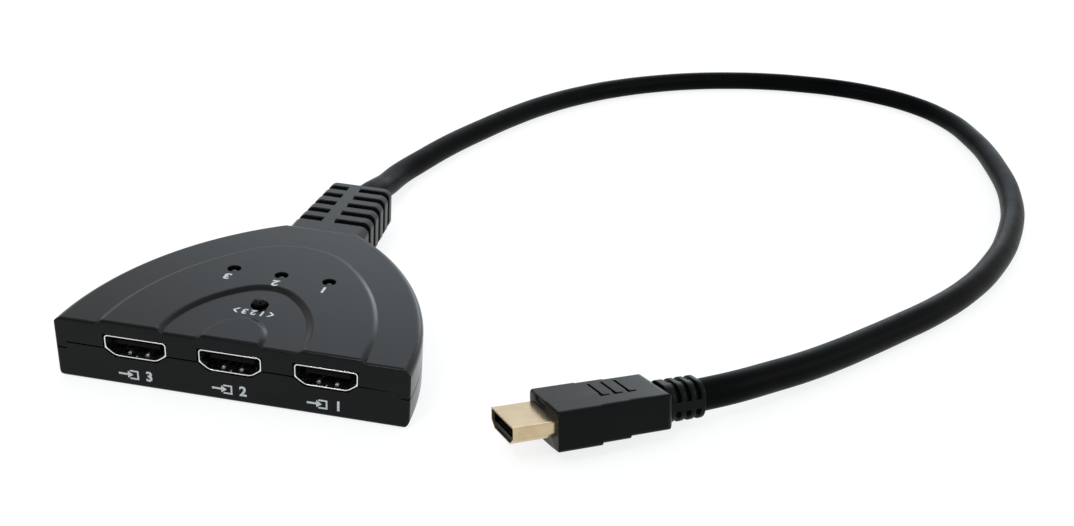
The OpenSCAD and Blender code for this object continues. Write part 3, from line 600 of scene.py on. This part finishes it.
@dataclass
class Assembly:
    """A group of pieces that are built, dressed and set on the case together."""

    frame: dict[str, Any]
    sharp: float = math.radians(27)
    flat: float = math.radians(0.3)
    widest: float = 1.0 * MM
    weld: float = 0.05 * MM
    thin: float = 0.01 * MM
    same: float = 0.002 * MM
    bend_steps: int = 5
    bend_profile: float = 0.5
    round_steps: int = 3

    def build(self) -> None:
        """Makes the group's pieces."""
        raise NotImplementedError

    def middle(self, node: str) -> Vector:
        """The middle of a solid's box."""
        low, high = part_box(node)
        return (low + high) / 2

    def slot(self, node: str) -> str:
        """The material slot of a solid in the record."""
        rows = self.frame["record"]["subparts"]
        return next(row["material_slot"] for row in rows if row["node"] == node)

    def add(self, name: str, data: bpy.types.ID, finish: Finish) -> bpy.types.Object:
        """Makes a piece, gives it its finish and sets it on the case.

        Args:
            name: The piece's name.
            data: Its mesh or curve.
            finish: Its finish.

        Returns:
            The new piece.
        """
        piece = placed(name, data)
        finish.put_on(data)
        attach(piece, CASE_BODY)
        LOG.info("made %s", piece.name)
        return piece

    def model(self, name: str, work: Work, finish: Finish) -> bpy.types.Object:
        """Turns a finished work mesh into a piece.

        Args:
            name: The piece's name.
            work: The work mesh, which is freed.
            finish: The piece's finish.

        Returns:
            The new piece.
        """
        mesh = bpy.data.meshes.new(name)
        bmesh.ops.remove_doubles(work, verts=work.verts, dist=self.same)
        bmesh.ops.recalc_face_normals(work, faces=work.faces)
        work.to_mesh(mesh)
        work.free()
        return self.add(name, mesh, finish)

    def dress(self, finish: Finish, *nodes: str) -> None:
        """Gives solids that keep their own shape a finish.

        Args:
            finish: The finish.
            nodes: The solids' nodes.
        """
        for node in nodes:
            finish.put_on(self.frame["nodes"][node].data)
            LOG.info("dressed %s", node)

    def rounded(
        self,
        node: str,
        name: str,
        finish: Finish,
        *roundings: Rounding,
        bends: Sequence[Rounding] = (),
        split: Split | None = None,
    ) -> bpy.types.Object:
        """Makes a copy of a solid with rounded edges that stands for it.

        Args:
            node: The solid's node.
            name: The new piece's name.
            finish: Its finish.
            roundings: The radii, of which the first that picks an edge counts.
            bends: Radii that go into the mesh one by one before the others.
            split: Where a face that runs round an opening is split.

        Returns:
            The new piece.
        """
        mesh = self.frame["nodes"][node].data.copy()
        mesh.name = name
        self.mark_edges(mesh, roundings, bends, split)
        piece = self.add(name, mesh, finish)
        # The added slot holds the joint line's painted shadow.
        mesh.materials.append(Finishes.JOINT.material())
        for kind in EdgeKind:
            bevel = piece.modifiers.new(kind.name, "BEVEL")
            bevel.limit_method = "WEIGHT"
            bevel.edge_weight = kind.value
            bevel.width = self.widest
            bevel.segments = self.round_steps
            bevel.use_clamp_overlap = False
            bevel.material = JOINT_SHADOW_SLOT if kind is EdgeKind.JOINT else FACE_SLOT
        normals = piece.modifiers.new("normals", "WEIGHTED_NORMAL")
        normals.keep_sharp = True
        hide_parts(node)
        self.slot(node)
        return piece

    def mark_edges(
        self,
        mesh: bpy.types.Mesh,
        roundings: Sequence[Rounding],
        bends: Sequence[Rounding],
        split: Split | None,
    ) -> None:
        """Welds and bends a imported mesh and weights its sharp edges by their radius.

        Args:
            mesh: The copied mesh.
            roundings: The radii that become weights.
            bends: The radii that go into the mesh.
            split: Where its faces are split first.
        """
        work = bmesh.new()
        work.from_mesh(mesh)
        bmesh.ops.remove_doubles(work, verts=work.verts, dist=self.weld)
        bmesh.ops.dissolve_degenerate(work, edges=work.edges, dist=self.thin)
        if split:
            split.cut(work)
        bmesh.ops.dissolve_limit(
            work, angle_limit=self.flat, verts=work.verts, edges=work.edges, delimit={"SEAM"}
        )
        bmesh.ops.dissolve_degenerate(work, edges=work.edges, dist=self.thin)
        for row in bends:
            picked = [edge for edge, found in self.sharp_edges(work) if row.picks(found)]
            bmesh.ops.bevel(
                work,
                geom=picked,
                offset=row.radius,
                segments=self.bend_steps,
                profile=self.bend_profile,
                affect="EDGES",
                clamp_overlap=False,
            )
        weights = {kind: work.edges.layers.float.new(kind.value) for kind in EdgeKind}
        for face in work.faces:
            face.smooth = True
        for edge, found in self.sharp_edges(work):
            row = next((row for row in roundings if row.picks(found)), None)
            edge.smooth = row is not None
            if row:
                edge[weights[row.kind]] = row.radius / self.widest
        work.to_mesh(mesh)
        work.free()
        if "custom_normal" in mesh.attributes:
            mesh.attributes.remove(mesh.attributes["custom_normal"])

    def sharp_edges(self, work: Work) -> list[tuple[bmesh.types.BMEdge, SharpEdge]]:
        """Marks the sharp edges of a work mesh.

        Args:
            work: The work mesh.

        Returns:
            Each sharp edge, with where it lies and how it runs.
        """
        work.normal_update()
        found = []
        for edge in work.edges:
            edge.smooth = edge.calc_face_angle(0.0) < self.sharp
            if not edge.smooth:
                first, second = (vert.co for vert in edge.verts)
                along = (second - first).normalized()
                place = SharpEdge((first + second) / 2, along, edge.calc_length(), edge.is_convex)
                found.append((edge, place))
        return found


@dataclass
class CaseShells(Assembly):
    """The two covers of the case and their screws."""

    side_radius: float = 77.5 * MM
    widest_line: float = 2.0 * MM
    wall: float = 2.0 * MM
    floor: float = 1.8 * MM
    ceiling: float = 13.8 * MM
    seam: float = 7.7 * MM
    lip: float = 9.25 * MM
    roof: float = 15.4 * MM
    slack: float = 0.06 * MM
    brow: float = 0.85 * MM
    foot: float = 2.3 * MM
    rear: float = 2.3 * MM
    boot_half: float = 10.6 * MM
    hole_facet: float = 0.35 * MM
    steepest: float = 0.3
    inward: float = 0.9
    seam_round: float = 0.17 * MM
    corner_round: float = 0.8 * MM
    step_round: float = 0.45 * MM
    hole_round: float = 0.2 * MM
    mouth_round: float = 0.12 * MM
    low: Vector = field(init=False)
    high: Vector = field(init=False)

    def __post_init__(self) -> None:
        """Takes the case's outer size from the frame."""
        self.low, self.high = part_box("bottom_cover")

    def build(self) -> None:
        """Rounds the covers and their screws and dresses them."""
        rules = (
            Rounding(self.seam_round, self.on_seam, EdgeKind.JOINT),
            Rounding(self.corner_round, self.on_corner),
            Rounding(self.step_round, self.on_step),
            Rounding(self.hole_round, self.on_roof),
            Rounding(self.mouth_round, self.on_outside),
        )
        head = Rounding(self.mouth_round, self.on_head)
        self.rounded("top_cover", "upper_cover", Finishes.COVER, *rules)
        self.rounded("bottom_cover", "lower_cover", Finishes.BASE, *rules)
        self.rounded("case_screws", "cover_screws", Finishes.ZINC, head)

    def hidden(self, point: Vector) -> bool:
        """Tells what is hidden in the case.

        Args:
            point: A point of a cover.

        Returns:
            Whether it lies in the hollow of the case or on its walls.
        """
        shift = self.side_radius - self.high.x
        level = point.y - self.low.y - self.widest_line
        reach = max(math.hypot(point.x - shift, level), math.hypot(point.x + shift, level))
        within = reach < self.side_radius - self.wall + self.slack
        front = self.low.y + self.wall - self.slack
        deep = front < point.y < self.high.y - self.wall + self.slack
        return within and deep and self.floor - self.slack < point.z < self.ceiling + self.slack

    def on_brow(self, point: Vector) -> bool:
        """Whether a point lies in the moulded rounds at the top and the foot of the port face."""
        ends = not self.foot < point.z < self.roof - self.foot
        return ends and point.y < self.low.y + self.brow

    def on_wall(self, point: Vector) -> bool:
        """Whether a point lies outside, below the roof and off the moulded rounds."""
        inner = self.hidden(point) or self.on_brow(point)
        return point.z <= self.roof - self.slack and not inner

    def on_seam(self, edge: SharpEdge) -> bool:
        """Picks the outer edges of the joint line."""
        level = min(abs(edge.middle.z - self.seam), abs(edge.middle.z - self.lip))
        return level < self.slack and not self.hidden(edge.middle)

    def on_corner(self, edge: SharpEdge) -> bool:
        """Picks the two rear corners of the case."""
        behind = edge.middle.y > self.high.y - self.rear and not self.hidden(edge.middle)
        return behind and abs(edge.middle.x) > self.boot_half

    def on_roof(self, edge: SharpEdge) -> bool:
        """Picks the level edges of the terrace steps and of the holes in the roof."""
        level = abs(edge.along.z) < self.steepest
        return level and edge.middle.z > self.roof - self.slack and not self.on_brow(edge.middle)

    def on_step(self, edge: SharpEdge) -> bool:
        """Picks the upper edges of the terrace steps."""
        return edge.convex and edge.length > self.hole_facet and self.on_roof(edge)

    def on_outside(self, edge: SharpEdge) -> bool:
        """Picks the other outer edges, but not the inner corners of the ports' mouths."""
        return self.on_wall(edge.middle) and (edge.convex or abs(edge.along.y) < self.inward)

    def on_head(self, edge: SharpEdge) -> bool:
        """Picks the edges of the screw heads."""
        return edge.middle.z < self.floor


@dataclass
class InputPorts(Assembly):
    """The three inputs: shell with its springs, insulator and contacts."""

    outer_bend: float = 0.9 * MM
    inner_bend: float = 0.6 * MM
    rim: float = 0.1 * MM
    tongue_round: float = 0.1 * MM
    long_edge: float = 6.0 * MM
    inward: float = 0.9
    root: float = -25.2 * MM
    sheet: float = 0.3 * MM
    opening: float = 4.55 * MM
    spring_x: float = 2.1 * MM
    spring_w: float = 0.8 * MM
    spring_t: float = 0.12 * MM
    spring_side: tuple[Corner, ...] = (
        (1.3, 0.2), (1.8, 0.46), (2.4, 0.5), (3.4, 0.36), (5.0, 0.16), (7.0, 0.02)
    )
    seam_w: float = 0.3 * MM
    seam_side: tuple[Corner, ...] = ((0.3, 0.03), (1.2, 0.05), (7.0, 0.05))

    def build(self) -> None:
        """Rounds the shells and insulators, adds the springs and dresses the contacts."""
        rim = Rounding(self.rim, lambda edge: edge.convex)
        block = Rounding(self.tongue_round, self.on_tongue)
        bends = (
            Rounding(self.outer_bend, lambda edge: self.on_bend(edge) and edge.convex),
            Rounding(self.inner_bend, lambda edge: self.on_bend(edge) and not edge.convex),
        )
        for number in INPUTS:
            shell = f"port_shell_{number}"
            insulator = f"port_insulator_{number}"
            halves = Split(self.middle(shell), ACROSS)
            self.rounded(
                shell, f"input_shell_{number}", Finishes.NICKEL, rim, bends=bends, split=halves
            )
            self.rounded(insulator, f"input_block_{number}", Finishes.BLOCK, block)
            self.springs(number)
            self.dress(Finishes.CONTACT, f"port_contacts_{number}")

    def on_bend(self, edge: SharpEdge) -> bool:
        """Picks the bends of the sheet along the port."""
        return abs(edge.along.y) > self.inward and edge.length > self.long_edge

    def on_tongue(self, edge: SharpEdge) -> bool:
        """Picks the edges of the tongue ahead of its root."""
        return edge.middle.y < self.root

    def springs(self, number: int) -> None:
        """Adds the two contact springs and the folded seam in a shell's floor.

        Args:
            number: The input's number.
        """
        low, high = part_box(f"port_shell_{number}")
        place = Vector(((low.x + high.x) / 2, low.y, high.z - self.sheet - self.opening))
        work = bmesh.new()
        for side in (-1, 1):
            middle = place + ACROSS * (side * self.spring_x)
            self.strip(work, middle, self.spring_w, self.spring_side)
        self.strip(work, place, self.seam_w, self.seam_side)
        piece = self.model(f"input_springs_{number}", work, Finishes.SPRING)
        self.slot("port_shell_1")

    def strip(self, work: Work, place: Vector, width: float, side: Sequence[Corner]) -> None:
        """Adds a bent strip of sheet that runs back from a port's mouth.

        Args:
            work: The mesh that it goes into.
            place: The point of the mouth's floor that it starts from.
            width: The strip's width.
            side: Its upper line in side view, as depth and height in millimetres.
        """
        half = width / 2
        section = ((-half, 0), (half, 0), (half, -self.spring_t), (-half, -self.spring_t))
        rings = []
        for depth, height in side:
            middle = place + Vector((0, depth * MM, height * MM))
            rings.append([work.verts.new(middle + Vector((x, 0, z))) for x, z in section])
        for near, far in zip(rings, rings[1:]):
            for index, corner in enumerate(near):
                after = (index + 1) % len(near)
                face = work.faces.new((corner, near[after], far[after], far[index]))
                face.smooth = index % 2 == 0
        work.faces.new(rings[0])
        work.faces.new(rings[-1])


@dataclass
class Electronics(Assembly):
    """The board and what sits on it, with the button and the lamps."""

    dome_kept: float = 0.58

    def build(self) -> None:
        """Dresses the solids, which keep their shapes, and makes the dome under the button."""
        self.dress(Finishes.BOARD, "circuit_board")
        self.dress(Finishes.BLOCK, "switch_housing")
        self.dress(Finishes.TIN, "switch_plate", "switch_terminals", "led_leads", "chip_legs")
        self.dress(Finishes.BUTTON, "select_button")
        self.dress(Finishes.LENS, "led_1", "led_2", "led_3")
        self.dress(Finishes.EPOXY, "switch_chip", "board_resistors", "board_diodes")
        self.dress(Finishes.CERAMIC, "board_capacitors")
        self.dress(Finishes.WIRE, "cable_wires")
        dome = self.rounded("switch_dome", "snap_dome", Finishes.TIN)
        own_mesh(dome)


@dataclass
class OutputLead(Assembly):
    """The strain relief, the free lead and the plug on its end."""

    thickness: float = 7.8 * MM
    length: float = 0.655
    ring_steps: int = 7
    knot_steps: int = 8
    boot_round: float = 0.35 * MM
    mould_round: float = 0.25 * MM
    front_round: float = 0.5 * MM
    ring_round: float = 0.2 * MM
    ring_lean: float = 0.5
    plug_front: Point = (0.071, -0.0296, 0.00639)
    plug_heading: float = math.radians(210)
    collar: Corner = (7.6 * MM, 4.2 * MM)
    short_edge: float = 1.0 * MM
    slack: float = 0.1 * MM
    shell_bend: float = 0.5 * MM
    shell_rim: float = 0.1 * MM
    long_edge: float = 10.0 * MM
    steepest: float = 0.2
    route: tuple[Point, ...] = (
        (0.0, 0.0678, 0.0077), (0.0, 0.0738, 0.0077), (0.0007, 0.081, 0.0068),
        (0.0014, 0.090, 0.0053), (0.0026, 0.104, 0.0042), (0.006, 0.118, 0.0039),
        (0.012, 0.138, 0.0039), (0.020, 0.159, 0.0039), (0.029, 0.180, 0.0039),
        (0.040, 0.201, 0.0039), (0.053, 0.220, 0.0039), (0.067, 0.236, 0.0039),
        (0.083, 0.250, 0.0039), (0.099, 0.261, 0.0039), (0.116, 0.2695, 0.0039),
        (0.133, 0.2755, 0.0039), (0.150, 0.2785, 0.0039), (0.167, 0.279, 0.0039),
        (0.183, 0.2755, 0.0039), (0.198, 0.267, 0.0039), (0.210, 0.251, 0.0039),
        (0.217, 0.225, 0.0039), (0.219, 0.192, 0.0039), (0.216, 0.155, 0.0039),
        (0.207, 0.121, 0.0039), (0.195, 0.093, 0.0039), (0.183, 0.0725, 0.0039),
        (0.171, 0.0565, 0.0039), (0.160, 0.044, 0.0039), (0.150, 0.033, 0.0040),
        (0.140, 0.022, 0.0044), (0.1305, 0.012, 0.0051), (0.1219, 0.0038, 0.0058),
        (0.1124, -0.0050, 0.0066), (0.104, -0.01055, 0.00639),
    )
    case_back: float = field(init=False)
    ahead: Vector = field(init=False)

    def __post_init__(self) -> None:
        """Takes the case's rear face from the frame and works out the plug's direction."""
        self.case_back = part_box("bottom_cover")[1].y
        self.ahead = Vector((math.cos(self.plug_heading), math.sin(self.plug_heading), 0))

    def build(self) -> None:
        """Makes the lead and rounds the boot and the plug."""
        rib = Rounding(self.boot_round, self.on_boot)
        soft = Rounding(self.mould_round, self.on_grip)
        nose = Rounding(self.front_round, self.on_nose)
        ring = Rounding(self.ring_round, self.on_ring)
        rim = Rounding(self.shell_rim, lambda edge: True)
        bend = Rounding(self.shell_bend, self.on_bend)
        halves = Split(Vector(self.plug_front), self.ahead.cross(UP))
        boot = self.rounded("strain_relief", "ribbed_boot", Finishes.BOOT, rib)
        grip = self.rounded("plug_body", "plug_grip", Finishes.MOULD, nose, soft, split=halves)
        sleeve = self.rounded("plug_relief", "plug_sleeve", Finishes.MOULD, ring)
        shell = self.rounded("plug_shell", "plug_front", Finishes.GOLD, bend, rim)
        self.dress(Finishes.JACKET, "cable_tail", "plug_cable_end")
        self.dress(Finishes.BLOCK, "plug_insulator")
        self.dress(Finishes.CONTACT, "plug_contacts")
        solids = ("cable_tail", "plug_cable_end", "plug_insulator", "plug_contacts")
        carried = (self.frame["nodes"][node] for node in solids)
        self.lead()
        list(carried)

    def lead(self) -> bpy.types.Object:
        """Makes the free lead as one smooth curve along its route.

        Returns:
            The new piece.
        """
        curve = bpy.data.curves.new("free_lead", "CURVE")
        curve.dimensions = "3D"
        curve.bevel_depth = self.thickness / 2
        curve.bevel_resolution = self.ring_steps
        curve.resolution_u = self.knot_steps
        spline = curve.splines.new("BEZIER")
        spline.bezier_points.add(len(self.route) - 1)
        for knot, point in zip(spline.bezier_points, self.route):
            knot.co = point
            knot.handle_left_type = "AUTO"
            knot.handle_right_type = "AUTO"
        piece = self.add("free_lead", curve, Finishes.JACKET)
        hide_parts("output_cable")
        self.slot("output_cable")
        return piece

    def on_boot(self, edge: SharpEdge) -> bool:
        """Picks the edges of the ribs outside the case."""
        return self.case_back + self.boot_round < edge.middle.y

    def plug_offset(self, edge: SharpEdge) -> tuple[float, bool]:
        """Works out where an edge lies on the plug.

        Args:
            edge: The edge.

        Returns:
            Its distance ahead of the grip's front, and whether it is off the shell's collar.
        """
        offset = edge.middle - Vector(self.plug_front)
        half_width, half_height = self.collar
        aside = abs(offset.cross(self.ahead).z) > half_width or abs(offset.z) > half_height
        return offset.dot(self.ahead), aside

    def on_nose(self, edge: SharpEdge) -> bool:
        """Picks the rim of the grip's front face."""
        ahead, aside = self.plug_offset(edge)
        return aside and abs(ahead) < self.slack

    def on_grip(self, edge: SharpEdge) -> bool:
        """Picks the long edges of the grip's steps and grooves."""
        return edge.length > self.short_edge and self.plug_offset(edge)[1]

    def on_ring(self, edge: SharpEdge) -> bool:
        """Picks the edges round the sleeve's ribs."""
        return edge.convex and abs(edge.along.dot(self.ahead)) < self.ring_lean

    def on_bend(self, edge: SharpEdge) -> bool:
        """Picks the bends of the plug's sheet."""
        return edge.length > self.long_edge and abs(edge.along.z) < self.steepest


@dataclass
class WhitePrint(Assembly):
    """The numerals beside the lamps and the plain marks by the button and under the inputs."""

    proud: float = 0.02 * MM
    step: float = 0.8 * MM
    bold: float = 0.03
    type_steps: int = 4
    lamp_type: float = 3.8 * MM
    lamp_gap: float = 4.2 * MM
    port_type: float = 3.5 * MM
    port_mark_z: float = 3.1 * MM
    numeral_x: float = 2.9 * MM
    button_type: float = 3.0 * MM
    button_gap: float = 3.75 * MM
    button_pitch: float = 2.1 * MM
    chevron: tuple[Corner, ...] = (
        (3.4, -1.1), (4.0, -1.1), (5.0, 0), (4.0, 1.1), (3.4, 1.1), (4.4, 0)
    )
    arrow: tuple[Corner, ...] = (
        (-4.4, -0.25), (-2.2, -0.25), (-2.2, -0.95), (-0.9, 0.0),
        (-2.2, 0.95), (-2.2, 0.25), (-4.4, 0.25)
    )
    bracket: tuple[Corner, ...] = (
        (-1.7, -1.2), (0.4, -1.2), (0.4, 1.2), (-1.7, 1.2),
        (-1.7, 0.8), (0.0, 0.8), (0.0, -0.8), (-1.7, -0.8)
    )

    def build(self) -> None:
        """Prints the roof and the port face."""
        roof = bmesh.new()
        face = bmesh.new()
        turned = Matrix.Rotation(math.pi, 4, "Z")
        upright = Matrix.Rotation(math.pi / 2, 4, "X")
        beside = Matrix.Translation((self.numeral_x, 0, 0))
        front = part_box("bottom_cover")[0].y
        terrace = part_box("top_cover")[1].z
        button_row = self.middle("select_button").y - self.button_gap
        for number in INPUTS:
            lamp = self.middle(f"led_{number}")
            place = Matrix.Translation((lamp.x, lamp.y - self.lamp_gap, terrace)) @ turned
            self.write(roof, str(number), self.lamp_type, place)
            port = self.middle(f"port_shell_{number}")
            place = Matrix.Translation((port.x, front, self.port_mark_z)) @ upright
            self.write(face, str(number), self.port_type, place @ beside)
            for outline in (self.arrow, self.bracket):
                self.slab(face, outline, place)
        for number in INPUTS:
            across = (MIDDLE_INPUT - number) * self.button_pitch
            place = Matrix.Translation((across, button_row, terrace - self.step)) @ turned
            self.write(roof, str(number), self.button_type, place)
        for turn in (0, math.pi):
            place = Matrix.Translation((0, button_row, terrace - self.step))
            self.slab(roof, self.chevron, place @ Matrix.Rotation(turn, 4, "Z"))
        self.model("roof_print", roof, Finishes.INK)
        self.model("port_print", face, Finishes.INK)

    def write(self, work: Work, text: str, size: float, place: Matrix) -> None:
        """Adds a numeral.

        Args:
            work: The mesh that it goes into.
            text: The numeral.
            size: Its type size.
            place: Where its middle goes, with its face along local +Z.
        """
        curve = bpy.data.curves.new("numeral", "FONT")
        curve.body = text
        curve.size = size
        curve.extrude = self.proud
        curve.offset = size * self.bold
        curve.resolution_u = self.type_steps
        curve.align_x = "CENTER"
        curve.align_y = "CENTER"
        writer = placed("numeral", curve)
        graph = bpy.context.evaluated_depsgraph_get()
        shape = bpy.data.meshes.new_from_object(writer.evaluated_get(graph))
        bpy.data.objects.remove(writer)
        shape.transform(place)
        work.from_mesh(shape)
        bpy.data.meshes.remove(shape)

    def slab(self, work: Work, outline: Sequence[Corner], place: Matrix) -> None:
        """Adds a flat printed shape.

        Args:
            work: The mesh that it goes into.
            outline: Its corners in millimetres, anticlockwise.
            place: Where its middle goes, with its face along local +Z.
        """
        lift = place.to_3x3() @ (UP * self.proud)
        corners = [place @ Vector((x * MM, y * MM, 0)) for x, y in outline]
        top = [work.verts.new(corner + lift) for corner in corners]
        low = [work.verts.new(corner - lift) for corner in corners]
        work.faces.new(top)
        work.faces.new(reversed(low))
        for index, corner in enumerate(low):
            after = (index + 1) % len(low)
            work.faces.new((corner, low[after], top[after], top[index]))


@dataclass(frozen=True)
class Viewpoint:
    """The photograph's camera, fitted to the standard openings of the inputs."""

    azimuth: float = math.radians(6.22)
    elevation: float = math.radians(26.26)
    roll: float = math.radians(5.23)
    distance: float = 0.21555
    target: Point = (0.06661, -0.032, 0.04552)
    focal_pixels: float = 1067.3
    image_pixels: float = 1074.0
    sensor: float = 36.0
    nearest: float = 0.01
    farthest: float = 20.0

    def build(self) -> None:
        """Makes the scene's camera."""
        turn, lift = self.azimuth, self.elevation
        level = math.cos(lift)
        back = Vector((math.sin(turn) * level, -math.cos(turn) * level, math.sin(lift)))
        right = Vector((math.cos(turn), math.sin(turn), 0))
        rise = back.cross(right)
        across = right * math.cos(self.roll) + rise * math.sin(self.roll)
        upward = rise * math.cos(self.roll) - right * math.sin(self.roll)
        data = bpy.data.cameras.new("photo_camera")
        data.sensor_fit = "HORIZONTAL"
        data.sensor_width = self.sensor
        data.lens = self.focal_pixels * self.sensor / self.image_pixels
        data.clip_start = self.nearest
        data.clip_end = self.farthest
        camera = placed("photo_camera", data)
        axes = Matrix((across, upward, back)).transposed().to_4x4()
        camera.matrix_world = Matrix.Translation(Vector(self.target) + back * self.distance) @ axes
        bpy.context.scene.camera = camera


@dataclass(frozen=True)
class Patch:
    """A bright or dark patch of the surroundings, with its angles in degrees."""

    strength: float
    toward: tuple[float, float]
    fade: Band

    def rise(self, tree: ShaderTree) -> Wire:
        """Works out how far a direction lies in the patch.

        Args:
            tree: A world's tree.

        Returns:
            Values from 0 outside the patch to 1 in its middle.
        """
        turn, lift = (math.radians(angle) for angle in self.toward)
        inner, outer = (math.cos(math.radians(angle)) for angle in self.fade)
        level = math.cos(lift)
        axis = (math.sin(turn) * level, math.cos(turn) * level, math.sin(lift))
        inputs = {0: tree.node("ShaderNodeTexCoord", output="Generated"), 1: axis}
        settings = {"operation": "DOT_PRODUCT"}
        near = tree.node("ShaderNodeVectorMath", settings, inputs, output="Value")
        return near.ramp(outer, inner)


@dataclass(frozen=True)
class Softbox:
    """A square lamp that looks at the middle of the scene, with its power in watts."""

    name: str
    place: Point
    side: float
    power: float
    aim: Point = (0.05, 0.05, 0.0)

    def build(self) -> None:
        """Makes the lamp."""
        data = bpy.data.lights.new(self.name, "AREA")
        data.shape = "SQUARE"
        data.size = self.side
        data.energy = self.power
        lamp = placed(self.name, data)
        lamp.location = self.place
        lamp.rotation_mode = "QUATERNION"
        lamp.rotation_quaternion = (Vector(self.aim) - Vector(self.place)).to_track_quat("-Z", "Y")


@dataclass(frozen=True)
class Studio:
    """The pale floor, the soft surroundings and the lamps."""

    half: float = 4.0
    drop: float = 0.05 * MM
    floor_colour: Colour = (0.93, 0.93, 0.92)
    floor_white: float = 1.15
    veil: float = 0.7
    sky: float = 0.74
    sky_colour: Colour = (0.89, 1.0, 1.08)
    sky_white: float = 1.0
    patches: tuple[Patch, ...] = (
        Patch(strength=2.0, toward=(-5, 33), fade=(8, 27)),
        Patch(strength=3.0, toward=(10, 5), fade=(5, 17)),
        Patch(strength=0.05, toward=(190, 60), fade=(18, 34)),
    )
    lamps: tuple[Softbox, ...] = (
        Softbox("top_panel", (-0.3, -0.2, 1.5), side=1.0, power=2.0),
        Softbox("front_panel", (-0.21, -0.65, 0.98), side=0.2, power=2.6),
        Softbox("right_panel", (1.3, 0.1, 0.7), side=0.8, power=3.0),
    )

    def build(self) -> None:
        """Makes the floor, the surroundings and the lamps."""
        bpy.context.scene.view_settings.view_transform = "Standard"
        self.floor()
        self.surroundings()
        for lamp in self.lamps:
            lamp.build()

    def floor(self) -> None:
        """Makes a plain floor that shows nearly white, with the part's soft shadow."""
        square = ((-1, -1), (1, -1), (1, 1), (-1, 1))
        corners = [(x * self.half, y * self.half, -self.drop) for x, y in square]
        mesh = bpy.data.meshes.new("floor")
        mesh.from_pydata(corners, [], [range(len(corners))])
        material = bpy.data.materials.new("floor")
        tree = ShaderTree(material)
        matt = tree.node("ShaderNodeBsdfDiffuse", None, {"Color": self.floor_colour})
        white = tree.glow("Emission", WHITE, self.floor_white)
        tree.close(tree.blend(tree.shown() * self.veil, matt, white))
        mesh.materials.append(material)
        placed("floor", mesh)

    def surroundings(self) -> None:
        """Makes pale surroundings with their patches, which the camera sees as plain white."""
        world = bpy.data.worlds.new("studio")
        bpy.context.scene.world = world
        tree = ShaderTree(world)
        white = tree.glow("Background", WHITE, self.sky_white)
        lit = tree.glow("Background", self.sky_colour, self.sky)
        lit = tree.blend(tree.shown(), lit, white)
        unseen = 1 - tree.ray("Camera")
        for patch in self.patches:
            tone = tree.glow("Background", self.sky_colour, patch.strength)
            lit = tree.blend(patch.rise(tree) * unseen, lit, tone)
        tree.close(lit, "ShaderNodeOutputWorld")


def main() -> None:
    """Builds the scene."""
    logging.basicConfig(level=logging.INFO, format="%(name)s: %(message)s")
    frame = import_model()
    Viewpoint().build()
    OutputLead(frame).build()
    CaseShells(frame).build()
    InputPorts(frame).build()
    Electronics(frame).build()
    WhitePrint(frame).build()
    Studio().build()


if __name__ == "__main__":
    main()
